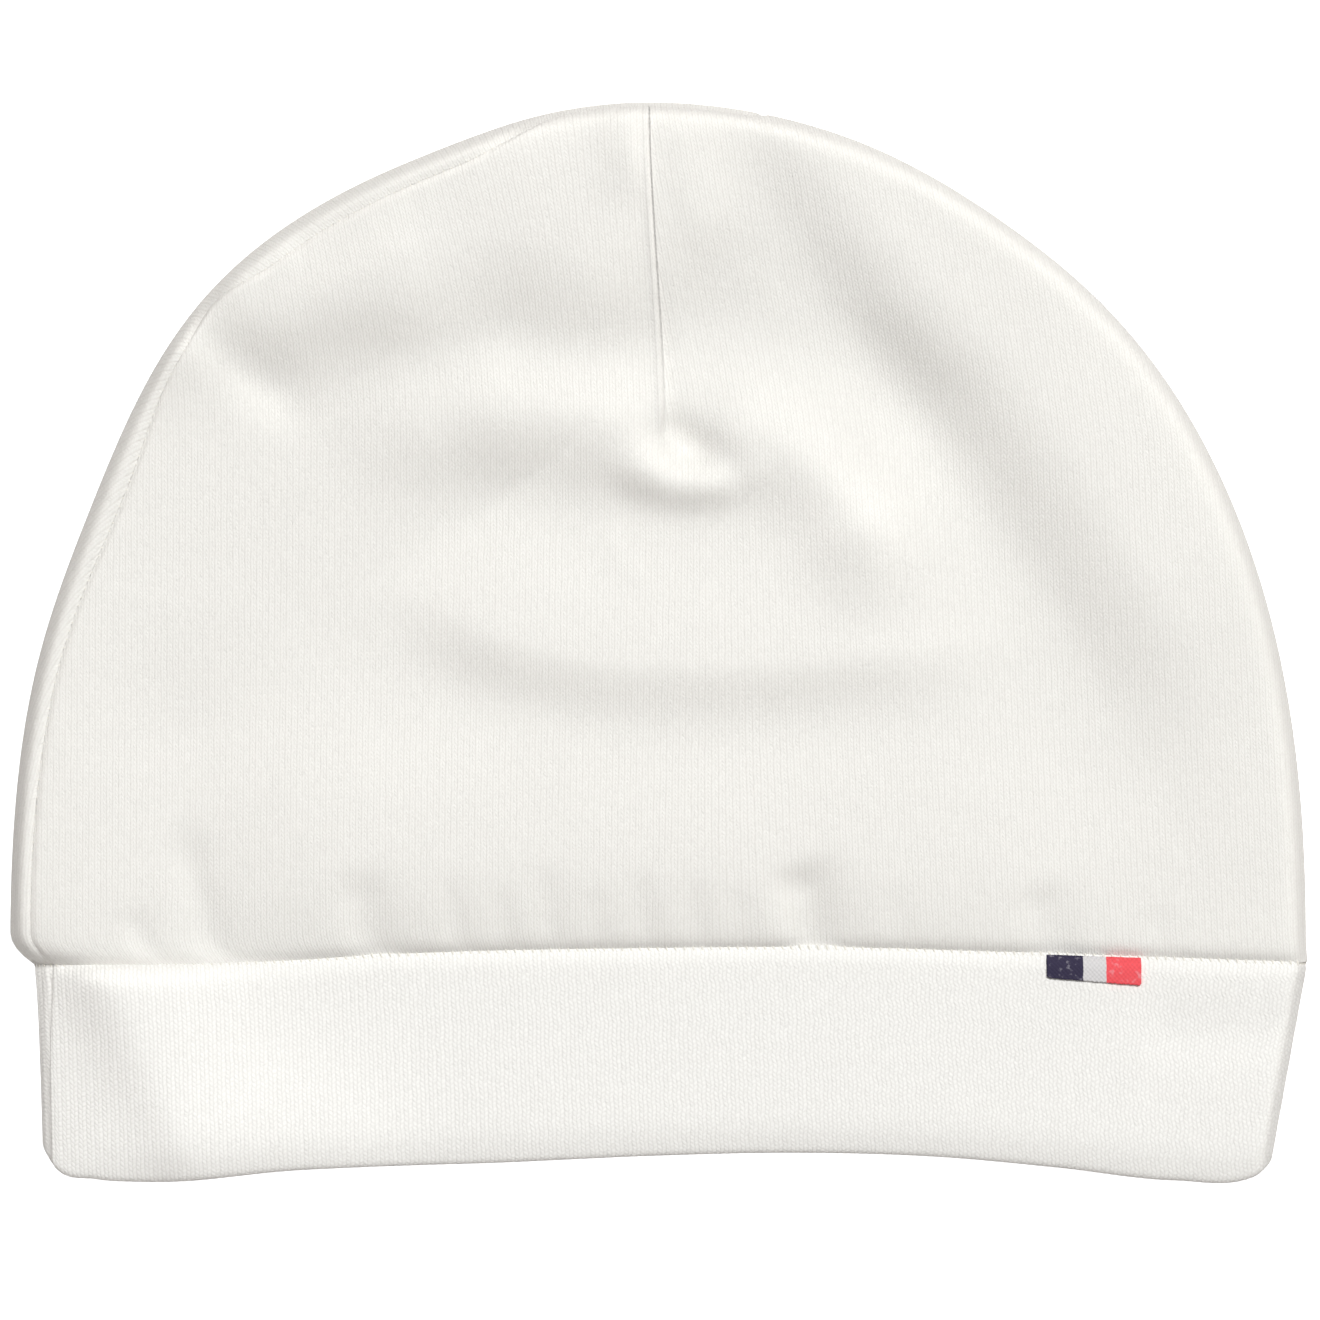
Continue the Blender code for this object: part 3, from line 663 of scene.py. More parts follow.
def make_panel(panel, columns, rows):
    """Rings of quads in from the seam to the panel's reach, then a grid over the middle."""
    turn, share, edge = half_disc(columns, rows)
    edge_turns = np.array([turn[place] for place in edge])
    seam_path = panel_seam_path(edge_turns)
    start = seam_path + panel.facing * PANEL_GAP / 2
    points, plans = [], []
    for ring in np.linspace(0.0, 1.0, panel.rings + 1):
        path = start + (panel.reach - start) * ring**panel.crowding
        sunk = seam_groove(edge_turns, path, seam_path)[:, None]
        points.append(crown_surface(edge_turns, path) - crown_normal(edge_turns, path) * sunk)
        plans.append(panel.plan(edge_turns, path))
    ring_index = np.arange((panel.rings + 1) * len(edge)).reshape(panel.rings + 1, -1)

    square = square_reach(turn.ravel())
    inset, _, _ = roll(np.full_like(square, panel.reach))
    path = panel.reach + panel.facing * (1 - share.ravel()) * (square - inset)
    grid_index = np.full(turn.shape, -1)
    for place, number in zip(edge, ring_index[-1]):
        grid_index[place] = number
    inner = grid_index < 0
    grid_index[inner] = np.arange(inner.sum()) + ring_index.size
    points.append(panel.surface(turn.ravel(), path)[inner.ravel()])
    plans.append(panel.plan(turn.ravel(), path)[inner.ravel()])
    rings_out = quads(ring_index)[:, :: -panel.facing]
    grid_out = quads(grid_index)[:, :: panel.facing]
    faces = np.concatenate([rings_out, grid_out])
    return make_cloth(panel.name, np.concatenate(points), faces, np.concatenate(plans))


top_path = panel_seam_path(math.pi / 2)
top_groove = float(seam_groove(math.pi / 2, top_path, top_path))
print("groove in the seam at the top in mm", round(top_groove * 1000, 2))

# %% The front panel
RING_REACH = 0.0080
GRID_COLUMNS = 196
GRID_ROWS = 124
HEM_ROWS = (0.0, 0.0001, 0.0002, 0.00032, 0.00046, 0.00065, 0.0009, 0.0013, 0.0018, 0.0024)
DART_COLUMNS = (-0.0016, -0.0012, -0.0009, -0.0006, -0.0003, 0, 0.0003, 0.0006, 0.0009, 0.0013)
DART_CLEAR = 0.002


def front_columns():
    """Even columns across the grid, with closer ones at the dart."""
    even = np.linspace(-1.0, 1.0, GRID_COLUMNS + 1)
    close = np.array(DART_COLUMNS) / (CROWN_WIDTH / 2 - RING_REACH)
    keep = np.abs(even) > np.abs(close).max() + DART_CLEAR
    return np.sort(np.append(even[keep], close))


def front_rows():
    """Rows that crowd together towards the band seam, where the cloth turns down."""
    close = np.array(HEM_ROWS) / (CROWN_HEIGHT - RING_REACH)
    return np.append(close, np.linspace(2 * close[-1] - close[-2], 1.0, GRID_ROWS))


FRONT = Panel(
    name="front_panel", facing=1, reach=RING_REACH, rings=22, crowding=1.5,
    surface=crown_surface, plan=front_plan,
)
front_panel = make_panel(FRONT, front_columns(), front_rows())
print("front panel faces", len(front_panel.data.polygons))

# %% [markdown]
# ## The underside
#
# The back panel lies on the floor, and the photograph doesn't show it, so it stays plain: nearly
# flat, with a dart of its own and a few low hollows where the cloth doesn't touch the floor. A
# flat face would do, but seen from below it would look like card.

# %% The back panel
UNDER_REACH = 0.0024
UNDER_PATH = -math.pi / 2 * RIM_RADIUS - UNDER_REACH
BACK_COLUMNS = 120
BACK_ROWS = 80
HOLLOW = 0.0005
HOLLOW_SIZE = 0.030
HOLLOW_LAYER = 4.2


def under_surface(turn, path):
    """The underside, with its height over the floor from its hollows and its dart."""
    points = crown_surface(turn, path)
    x, y = points[:, 0], points[:, 1]
    lumps = cloth_noise(x, y, HOLLOW_SIZE, HOLLOW_LAYER)
    shown = smooth((y / CROWN_HEIGHT - DART_END) / DART_FADE)
    dart = shown * np.exp(-((x / GROOVE_WIDTH) ** 2)) * GROOVE_DEPTH
    clear = HOLLOW * np.clip(lumps, 0.0, 1.0) + dart
    points[:, 2] = clear * smooth((UNDER_PATH - path) / RIM_FADE)
    return points


BACK = Panel(
    name="back_panel", facing=-1, reach=UNDER_PATH, rings=24, crowding=1.3,
    surface=under_surface, plan=back_plan,
)
even_columns = np.linspace(-1.0, 1.0, BACK_COLUMNS + 1)
even_rows = np.linspace(0.0, 1.0, BACK_ROWS + 1)
back_panel = make_panel(BACK, even_columns, even_rows)
print("back panel faces", len(back_panel.data.polygons))

# %% [markdown]
# ## The band
#
# The band is a strip of rib knit, folded double at the mouth and sewn into a ring at the left. A
# tube with a Solidify modifier would have one plain wall. This wall is two layers with a round
# fold at the mouth, so the band's section is worked out slice by slice and carried down from the
# seam, over the fold and back up inside.

# %% The mouth and the sides
BAND_HEIGHT = 0.0298
BAND_TAPER_LEFT = 0.0013
BAND_TAPER_RIGHT = 0.0050

# Across is a share of half the mouth's width, and a lift is a share of the band's height.
MOUTH_LINE = (
    Lift(across=-1.00, lift=0.130),
    Lift(across=-0.975, lift=0.050),
    Lift(across=-0.91, lift=0.009),
    Lift(across=-0.84, lift=0.000),
    Lift(across=-0.58, lift=0.054),
    Lift(across=-0.26, lift=0.082),
    Lift(across=0.00, lift=0.114),
    Lift(across=0.20, lift=0.127),
    Lift(across=0.46, lift=0.108),
    Lift(across=0.65, lift=0.060),
    Lift(across=0.84, lift=0.002),
    Lift(across=0.96, lift=0.010),
    Lift(across=1.00, lift=0.060),
)


def band_edges(down):
    """Where the band's sides are, at a share of the way down from the seam to the mouth."""
    left = -(CROWN_WIDTH / 2 - OVERHANG_LEFT) + BAND_TAPER_LEFT * np.sqrt(down)
    right = CROWN_WIDTH / 2 - OVERHANG_RIGHT - BAND_TAPER_RIGHT * down
    return left, right


def mouth_line(x):
    """The height of the mouth's edge in the picture."""
    left, right = band_edges(1.0)
    across = (x - (left + right) / 2) / ((right - left) / 2)
    return (curve_through(MOUTH_LINE, across) - 1) * BAND_HEIGHT


print("mouth width in mm", round(float(np.ptp(band_edges(1.0))) * 1000, 1))

# %% One slice of the band
BAND_COLUMNS = 1800
BAND_DIP_REACH = 0.0012
MOUTH_DIP = 0.0012
MOUTH_DIP_REACH = 0.0026
CLOSING_DEPTH = 0.00038
CLOSING_WIDTH = 0.00034
BAND_FOLDS = (
    Fold("side_ridge", (-0.880, -0.300), (-0.800, 0.250), (-0.630, 1.400), 6.0, 14.0, 2.80),
    Fold("left_bulge", (-1.000, 0.950), (-0.700, 1.000), (-0.300, 1.050), 8.0, 14.0, 2.20),
    Fold("right_dip", (0.700, 0.300), (0.860, 0.340), (1.050, 0.300), 4.0, 4.5, -0.60),
)


def band_rise(x, above, down):
    """The height of the band's front over its roll, in one slice."""
    from_seam = down * BAND_HEIGHT
    puff = BAND_PUFF - SEAM_DIP * np.exp(-((from_seam / BAND_DIP_REACH) ** 2))
    puff = puff - MOUTH_DIP * np.exp(-(((BAND_HEIGHT - from_seam) / MOUTH_DIP_REACH) ** 2))
    level = np.full_like(x, from_seam)
    relief = fold_relief(BAND_FOLDS, x, level, CROWN_WIDTH, BAND_HEIGHT)
    fade = soft_limit(above / RIM_FADE) * (1 - np.exp(-from_seam / PUCKER_FADE))
    on_left = x < sum(band_edges(down)) / 2
    return np.where(on_left, left_rise(above, down, puff), rise(above, puff)) + relief * fade


def band_section(down):
    """The band's outer line in one slice: x, z, outward normal and length, once round."""
    left, right = band_edges(down)
    last = math.pi / 2 - RIM_SLOPE
    roll_length = (math.pi / 2 + last) * RIM_RADIUS
    roll_inset, roll_z, _ = roll(np.array(last * RIM_RADIUS))
    reach = (right - left) / 2 - roll_inset
    total = 2 * roll_length + 2 * reach + (right - left - 2 * RIM_RADIUS)
    along = np.arange(BAND_COLUMNS) / BAND_COLUMNS * total
    past_left = along - roll_length
    past_top = past_left - 2 * reach
    past_right = past_top - roll_length

    left_inset, left_z, _ = roll(along - math.pi / 2 * RIM_RADIUS)
    right_inset, right_z, _ = roll(last * RIM_RADIUS - past_top)
    top_x = left + roll_inset + past_left
    above = np.maximum(reach - np.abs(top_x - (left + right) / 2), 0.0)
    top_z = roll_z + band_rise(top_x, above, down)
    under_x = right - RIM_RADIUS - past_right
    parts = [past_left < 0, past_top < 0, past_right < 0]
    x = np.select(parts, [left + left_inset, top_x, right - right_inset], under_x)
    z = np.select(parts, [left_z, top_z, right_z], 0.0)

    way_x = np.roll(x, -1) - np.roll(x, 1)
    way_z = np.roll(z, -1) - np.roll(z, 1)
    length = np.hypot(way_x, way_z)
    out_x, out_z = -way_z / length, way_x / length
    closing = (past_left - closing_place(down)) / CLOSING_WIDTH
    sunk = CLOSING_DEPTH * np.exp(-(closing**2))
    return x - out_x * sunk, z - out_z * sunk, out_x, out_z, total


print("length round the band at its seam in mm", round(float(band_section(0.0)[4]) * 1000, 1))

# %% The fold in the band
BAND_WALL = 0.0022
BAND_ROWS = 27
EVEN_SHARE = 0.15
FOLD_STEPS = 8
INSIDE_ROWS = 5
HIDDEN_ROWS = 2
LAYER_GAP = 0.0001
TUCK_DEPTH = 0.00045
TUCK_OVERLAP = 0.00050
TUCK_REACH = 0.00050


def crowded(t):
    """Shares from 0 to 1 that crowd together towards 0, where the band meets the crown."""
    return EVEN_SHARE * t + (1 - EVEN_SHARE) * t**2 * (1.5 - 0.5 * t)


def band_profile():
    """The rows of the folded band: share of the way down from the seam, and depth in.

    They go down the outer layer, round the fold and up the inside, and come back to the start
    between the layers, so that the cloth has both of its sides.
    """
    fold = BAND_WALL / 2 / BAND_HEIGHT
    middle = BAND_WALL / 2
    turns = np.linspace(0.0, math.pi, FOLD_STEPS + 1)[1:-1]
    hidden = np.linspace(0.0, 1.0 - fold, HIDDEN_ROWS + 1)
    outer = [((1.0 - fold) * crowded(t), 0.0) for t in np.linspace(0.0, 1.0, BAND_ROWS + 1)]
    folded = [(1.0 - fold + fold * math.sin(t), middle * (1 - math.cos(t))) for t in turns]
    inner = [(t * (1.0 - fold), BAND_WALL) for t in np.linspace(1.0, 0.0, INSIDE_ROWS + 1)]
    hidden_inner = [(t, middle + LAYER_GAP / 2) for t in hidden]
    hidden_outer = [(t, middle - LAYER_GAP / 2) for t in hidden[::-1]]
    return outer + folded + inner + hidden_inner + hidden_outer


def tuck(down):
    """How deep and how far the band's top edge goes in under the crown."""
    share = math.exp(-((down * BAND_HEIGHT / TUCK_REACH) ** 2))
    return TUCK_DEPTH * share, TUCK_OVERLAP * share


print("rows in the band's section", len(band_profile()))

# %% The smooth band
RIB = 0.001128
BAND_COURSE = 0.00065


def make_smooth_band():
    """The folded band before its ribs, with the count of ribs on every vertex."""
    points, plans, ribs = [], [], []
    along = 0.0
    last = None
    for down, depth in band_profile():
        x, z, out_x, out_z, total = band_section(down)
        sunk, under = tuck(down)
        x, z = x - out_x * (depth + sunk), z - out_z * (depth + sunk)
        seam = band_seam_line(x) - SEAM_GAP / 2 + under
        y = seam + (mouth_line(x) - seam) * down
        here = np.stack([x, y, z], axis=-1)
        along += 0.0 if last is None else float(np.median(np.linalg.norm(here - last, axis=-1)))
        last = here
        rib = np.arange(BAND_COLUMNS + 1) / BAND_COLUMNS * round(total / RIB)
        points.append(here)
        plans.append(np.stack([rib, np.full_like(rib, along / BAND_COURSE)], axis=-1))
        ribs.append(rib[:-1])
    rows = len(points)
    index = np.arange(rows * BAND_COLUMNS).reshape(rows, -1)
    ring = np.concatenate([index, index[:, :1]], axis=1)
    faces = quads(np.concatenate([ring, ring[:1]], axis=0))[:, ::-1]
    index = np.arange(rows * (BAND_COLUMNS + 1)).reshape(rows, -1)
    plan_faces = quads(np.concatenate([index, index[:1]], axis=0))[:, ::-1]
    points, plans = np.concatenate(points), np.concatenate(plans)
    base = make_cloth("band_base", points, faces, plans, plan_faces=plan_faces)
    attribute = base.data.attributes.new("rib", "FLOAT", "POINT")
    attribute.data.foreach_set("value", np.concatenate(ribs).astype(np.float32))
    return base


smooth_band = make_smooth_band()
print("band faces before its ribs", len(smooth_band.data.polygons))

# %% [markdown]
# ## Nodes as Python expressions
#
# The ribs and both knits are repeating sums. They could be wired by hand in the node editor, but
# a sum is easier to read as an expression than as a web of nodes. The Wire class holds one socket
# and lets Python's own operators add Math nodes to its tree. All other nodes come from one
# function, so that shader trees and Geometry Nodes read the same way.

# %% Wires and nodes
class Wire:
    """A socket that Python's operators work on."""

    def __init__(self, socket):
        self.socket = socket

    def math(self, operation, *numbers):
        """One Math node on wires and plain numbers."""
        inputs = dict(enumerate(numbers))
        return add_node(self.socket.id_data, "ShaderNodeMath", {"operation": operation}, inputs)

    def __add__(self, other):
        return self.math("ADD", self, other)

    def __radd__(self, other):
        return self.math("ADD", other, self)

    def __sub__(self, other):
        return self.math("SUBTRACT", self, other)

    def __rsub__(self, other):
        return self.math("SUBTRACT", other, self)

    def __mul__(self, other):
        return self.math("MULTIPLY", self, other)

    def __rmul__(self, other):
        return self.math("MULTIPLY", other, self)

    def __pow__(self, other):
        return self.math("POWER", self, other)

    def __rpow__(self, other):
        return self.math("POWER", other, self)

    def __abs__(self):
        return self.math("ABSOLUTE", self)

    def fraction(self):
        return self.math("FRACT", self)

    def floor(self):
        return self.math("FLOOR", self)

    def sine(self):
        return self.math("SINE", self)

    def cosine(self):
        return self.math("COSINE", self)

    def step(self, low, high):
        """A soft step from 0 at low to 1 at high."""
        settings = {"interpolation_type": "SMOOTHSTEP"}
        inputs = {"Value": self, "From Min": low, "From Max": high}
        return add_node(self.socket.id_data, "ShaderNodeMapRange", settings, inputs)


def add_node(tree, kind, settings=None, inputs=None, output=0):
    """Add a node, with its settings first and then its sockets, and give one output as a Wire."""
    node = tree.nodes.new(kind)
    for name, value in (settings or {}).items():
        setattr(node, name, value)
    for name, value in (inputs or {}).items():
        if isinstance(value, Wire):
            tree.links.new(value.socket, node.inputs[name])
        else:
            node.inputs[name].default_value = value
    return Wire(node.outputs[output]) if node.outputs else node


# %% [markdown]
# ## The ribs
#
# Rib knit stands up in rounded cords with a furrow between them, more than three hundred of them
# round this band. An Array modifier could repeat one cord, but it would have to follow the fold
# and every bend. Geometry Nodes push the smooth band in along its furrows instead: one rule,
# read from the count of ribs on each vertex, makes them all.

# %% Trees of Geometry Nodes
def new_geometry_tree(name, sizes):
    """A Geometry Nodes tree with a geometry input and output and named sizes."""
    tree = bpy.data.node_groups.new(name, "GeometryNodeTree")
    tree.interface.new_socket("Geometry", in_out="INPUT", socket_type="NodeSocketGeometry")
    for size in sizes:
        tree.interface.new_socket(size, in_out="INPUT", socket_type="NodeSocketFloat")
    tree.interface.new_socket("Material", in_out="INPUT", socket_type="NodeSocketMaterial")
    tree.interface.new_socket("Geometry", in_out="OUTPUT", socket_type="NodeSocketGeometry")
    given = tree.nodes.new("NodeGroupInput")
    return tree, {socket.name: Wire(socket) for socket in given.outputs if socket.name}


def end_tree(tree, geometry, material):
    """Realize Instances and Set Material, as the export needs."""
    real = add_node(tree, "GeometryNodeRealizeInstances", None, {"Geometry": geometry})
    inputs = {"Geometry": real, "Material": material}
    finished = add_node(tree, "GeometryNodeSetMaterial", None, inputs)
    add_node(tree, "NodeGroupOutput", None, {"Geometry": finished})
    return tree


def grow(name, base, tree, sizes, material):
    """Run a tree on a base object, keep its result as a plain mesh and drop the base."""
    modifier = base.modifiers.new(name, "NODES")
    modifier.node_group = tree
    values = {**sizes, "Material": material}
    for item in tree.interface.items_tree:
        if item.in_out == "INPUT" and item.name in values:
            modifier[item.identifier] = values[item.name]
    graph = bpy.context.evaluated_depsgraph_get()
    seen = base.evaluated_get(graph)
    mesh = bpy.data.meshes.new_from_object(seen, preserve_all_data_layers=True, depsgraph=graph)
    mesh.name = name
    base.modifiers.remove(modifier)
    bpy.data.objects.remove(base, do_unlink=True)
    piece = bpy.data.objects.new(name, mesh)
    bpy.context.collection.objects.link(piece)
    return piece


# %% Ribs
def rib_tree():
    """Pushes a band of knit in along the furrows between its ribs."""
    tree, given = new_geometry_tree("band_ribs", ["Rib Depth", "Rib Fullness"])
    settings = {"data_type": "FLOAT"}
    rib = add_node(tree, "GeometryNodeInputNamedAttribute", settings, {"Name": "rib"})
    bulge = abs((rib * math.pi).sine()) ** given["Rib Fullness"]
    normal = add_node(tree, "GeometryNodeInputNormal")
    inputs = {0: normal, "Scale": (bulge - 1) * given["Rib Depth"]}
    offset = add_node(tree, "ShaderNodeVectorMath", {"operation": "SCALE"}, inputs)
    inputs = {"Geometry": given["Geometry"], "Offset": offset}
    pushed = add_node(tree, "GeometryNodeSetPosition", None, inputs)
    return end_tree(tree, pushed, given["Material"])


band_ribs = rib_tree()
print("nodes that make the ribs", len(band_ribs.nodes))

# %% [markdown]
# ## The knits
#
# A knit stitch is a V of two legs. Seen close, a sheet of jersey is columns of Vs, with a thin
# dark line of shade between columns and a fainter one down the middle of each. The hat has about
# a hundred thousand stitches. They would be far too heavy as a mesh, and an image of a knit would
# repeat. So the finish works the stitches out from the flat plan: how far a point is from the
# middle of its column gives the legs, and the count of courses, pushed up along each leg, gives
# the stitches. The same heights drive a bump and a little painted shade in the colour, darker in
# the gaps, down the middles and between stitches.

# %% Finishes and their parts
SHEEN_ROUGHNESS = 0.5
SPECULAR = 0.2


def new_material(name, roughness, sheen):
    """A matt material with the soft sheen of fibres."""
    material = bpy.data.materials.new(name)
    material.use_nodes = True
    shader = material.node_tree.nodes["Principled BSDF"]
    shader.inputs["Roughness"].default_value = roughness
    shader.inputs["Sheen Weight"].default_value = sheen
    shader.inputs["Sheen Roughness"].default_value = SHEEN_ROUGHNESS
    shader.inputs["Specular IOR Level"].default_value = SPECULAR
    return material, material.node_tree, shader


def plan_place(tree, name):
    """Both coordinates of a piece's flat plan."""
    plan = add_node(tree, "ShaderNodeUVMap", {"uv_map": name})
    across = add_node(tree, "ShaderNodeSeparateXYZ", None, {0: plan}, "X")
    return across, Wire(across.socket.node.outputs["Y"])


def noise_at(tree, scale, detail):
    """Noise that stays where it is on the piece."""
    place = add_node(tree, "ShaderNodeTexCoord", None, None, "Object")
    inputs = {"Vector": place, "Scale": scale, "Detail": detail}
    return add_node(tree, "ShaderNodeTexNoise", None, inputs)


def mix_colours(tree, share, first, second):
    """The first colour, with a share of the second."""
    inputs = {0: share, 6: first, 7: second}
    return add_node(tree, "ShaderNodeMix", {"data_type": "RGBA"}, inputs, 2)


def set_bump(tree, shader, height, distance):
    """Let a height bend the surface's normal."""
    inputs = {"Height": height, "Distance": distance, "Strength": 1.0}
    bump = add_node(tree, "ShaderNodeBump", None, inputs)
    tree.links.new(bump.socket, shader.inputs["Normal"])


# %% The knit finish
# Shade is the colour of the painted shade in a knit's gaps and of its random darker tone. Gap,
# middle and stitch say how much painted shade a knit gets between its columns, down their
# middles and between stitches, and how deep its bump sinks there. Slant is how far a leg climbs,
# and offset puts the two legs out of step.
# Bump is a height in metres, and fuzz and loop say how much fibres and single stitches vary.
Knit = namedtuple("Knit", "colour shade gap middle stitch slant offset bump fuzz loop")
JERSEY = Knit(
    colour=(0.890, 0.878, 0.846, 1.0), shade=(0.500, 0.440, 0.410, 1.0),
    gap=0.09, middle=0.03, stitch=0.12, slant=0.9, offset=0.0, bump=0.00012, fuzz=0.07, loop=0.05,
)
RIB_KNIT = Knit(
    colour=(0.930, 0.920, 0.895, 1.0), shade=(0.600, 0.575, 0.550, 1.0),
    gap=0.09, middle=0.08, stitch=0.20, slant=0.5, offset=0.5, bump=0.00011, fuzz=0.07, loop=0.07,
)
KNIT_ROUGHNESS = 0.92
KNIT_SHEEN = 0.12
DRIFT_SCALE = 420.0
DRIFT_ACROSS = 0.35
DRIFT_UP = 0.8
FUZZ_SCALE = 3400.0
MOTTLE_SCALE = 90.0
MOTTLE = 0.05
GAP_START = 0.60
MIDDLE_END = 0.36
SIDE_STEP = 0.001
FUZZ_RELIEF = 0.4
LOOP_RELIEF = 0.35


def knit_finish(name, knit):
    """Columns of Vs on a flat plan: a colour with painted shade in its gaps, and a bump."""
    material, tree, shader = new_material(name, KNIT_ROUGHNESS, KNIT_SHEEN)
    across, up = plan_place(tree, "knit")
    drift = noise_at(tree, DRIFT_SCALE, detail=2.0) - 0.5
    across = across + drift * DRIFT_ACROSS
    up = up + drift * DRIFT_UP
    side = across.fraction().step(0.5 - SIDE_STEP, 0.5 + SIDE_STEP)
    leg = abs(across.fraction() - 0.5) * 2
    course = up + leg * knit.slant + side * knit.offset
    crest = (leg * math.pi).sine()
    stitch = (((course * (2 * math.pi)).cosine() * 0.5 + 0.5) * crest) ** 0.5
    inputs = {0: (across * 2).floor(), 1: course.floor()}
    cell = add_node(tree, "ShaderNodeCombineXYZ", None, inputs)
    loop = add_node(tree, "ShaderNodeTexWhiteNoise", None, {"Vector": cell}) - 0.5
    fuzz = noise_at(tree, FUZZ_SCALE, detail=2.0) - 0.5
    mottle = noise_at(tree, MOTTLE_SCALE, detail=3.0) - 0.5

    gap = leg.step(GAP_START, 1.0)
    middle = 1 - leg.step(0.0, MIDDLE_END)
    # Low is painted shade in the colour: darker between columns, down their middles and between
    # stitches, where shade falls. It also sinks the bump there.
    low = gap * knit.gap + middle * knit.middle + (1 - stitch) * knit.stitch
    # The share mixed towards the shade colour: the painted shade, plus random tone from fibres,
    # mottle and single stitches.
    shade = low + fuzz * knit.fuzz + mottle * MOTTLE + loop * knit.loop
    colour = mix_colours(tree, shade, knit.colour, knit.shade)
    tree.links.new(colour.socket, shader.inputs["Base Color"])
    height = (1 - low * 2) + fuzz * FUZZ_RELIEF + loop * LOOP_RELIEF
    set_bump(tree, shader, height, knit.bump)
    return material


jersey = knit_finish("jersey_knit", JERSEY)
rib_knit = knit_finish("rib_knit_folded", RIB_KNIT)
print("nodes in a knit finish", len(jersey.node_tree.nodes))

# %% Knit on the panels and the band
JERSEY_WALL = 0.0009
RIB_DEPTH = 0.00004
RIB_FULLNESS = 0.6


def thicken(piece, wall):
    """Give a sheet its other side, inwards."""
    solidify = piece.modifiers.new("wall", "SOLIDIFY")
    solidify.thickness = wall
    solidify.offset = -1.0
    solidify.use_quality_normals = True


for panel in (front_panel, back_panel):
    panel.data.materials.append(jersey)
    thicken(panel, JERSEY_WALL)

band_sizes = {"Rib Depth": RIB_DEPTH, "Rib Fullness": RIB_FULLNESS}
folded_band = grow("folded_band", smooth_band, band_ribs, band_sizes, rib_knit)
print("band faces", len(folded_band.data.polygons))

# %% [markdown]
# ## The tab
#
# The tab is a scrap of woven ribbon with three plain stripes, caught in the band seam. A plane
# pushed onto the band by a Shrinkwrap modifier would lie just as close. Here its height is read
# from the band's own section, so it follows when the band changes. Its cut edge is a little
# ragged.

# %% The tab's cloth
TAB_WIDTH = 0.0127
TAB_LENGTH = 0.0034
TAB_WALL = 0.00035
TAB_CLEARANCE = 0.00005
TAB_PLACE = 0.668
TAB_COLUMNS = 64
TAB_ROWS = 18
TAB_LEAN = 0.0006
TAB_CORNER = 0.00025
TAB_CORNER_SHARE = 0.03
RAGGED = 0.00007
RAGGED_COUNT = 90
RAGGED_LAYER = 1.7


def make_tab():
    """A small sheet that lies on the band, from its cut edge up to the seam."""
    across = np.linspace(-0.5, 0.5, TAB_COLUMNS + 1)
    x = TAB_PLACE * CROWN_WIDTH / 2 + across * TAB_WIDTH
    ragged = [noise.noise(Vector((a * RAGGED_COUNT, RAGGED_LAYER, 0.0))) for a in across]
    corner = np.clip((np.abs(across) - 0.5) / TAB_CORNER_SHARE + 1, 0.0, 1.0) ** 2
    length = TAB_LENGTH + TAB_LEAN * across + np.array(ragged) * RAGGED - TAB_CORNER * corner
    points, plans = [], []
    for share in np.linspace(1.0, 0.0, TAB_ROWS + 1):
        y = band_seam_line(x) - length * share
        down = float(np.mean(length * share)) / BAND_HEIGHT
        section_x, section_z, _, _, _ = band_section(down)
        top = section_z > RIM_RADIUS
        on_band = np.interp(x, section_x[top], section_z[top]) - tuck(down)[0]
        points.append(np.stack([x, y, on_band + TAB_WALL + TAB_CLEARANCE], axis=-1))
        plans.append(np.stack([across + 0.5, np.full_like(across, 1 - share)], axis=-1))
    index = np.arange((TAB_ROWS + 1) * (TAB_COLUMNS + 1)).reshape(TAB_ROWS + 1, -1)
    points, plans = np.concatenate(points), np.concatenate(plans)
    return make_cloth("striped_tab", points, quads(index), plans, plan_name="ribbon")


striped_tab = make_tab()
print("tab faces", len(striped_tab.data.polygons))

# %% [markdown]
# ## The tab's weave
#
# A woven ribbon is warp and weft that pass over and under each other, and its stripes are warps
# of other colours. A ramp could give the stripes in one node. A chain of mixes lets each edge
# wobble with the yarns instead, and the weave itself is two sines multiplied. Their product
# drives a bump and a checker of painted shade between the yarns, and noise adds pale painted
# highlights on single yarns.

# %% The woven stripes
YARN = 0.00030
STRIPE_ENDS = (0.385, 0.63)
STRIPE_SOFTNESS = 0.004
STRIPE_WOBBLE = 0.012
NAVY = (0.033, 0.027, 0.063, 1.0)
GREY_WHITE = (0.680, 0.665, 0.672, 1.0)
RED = (0.880, 0.098, 0.115, 1.0)
# Painted shade: the near-black colour that the weave's checker leans to between the yarns.
YARN_GAP_SHADE = (0.02, 0.018, 0.03, 1.0)
YARN_SHADE = 0.12
# Painted highlights: the pale colour of glints on single yarns, mixed in by noise.
YARN_HIGHLIGHT = (0.75, 0.72, 0.80, 1.0)
FLECK_SCALE = 1400.0
HIGHLIGHT_START = 0.06
HIGHLIGHT_END = 0.24
HIGHLIGHT_SHARE = 0.20
WEAVE_RELIEF = 0.00006
RIBBON_ROUGHNESS = 0.75
FIBRE_SHEEN = 0.1


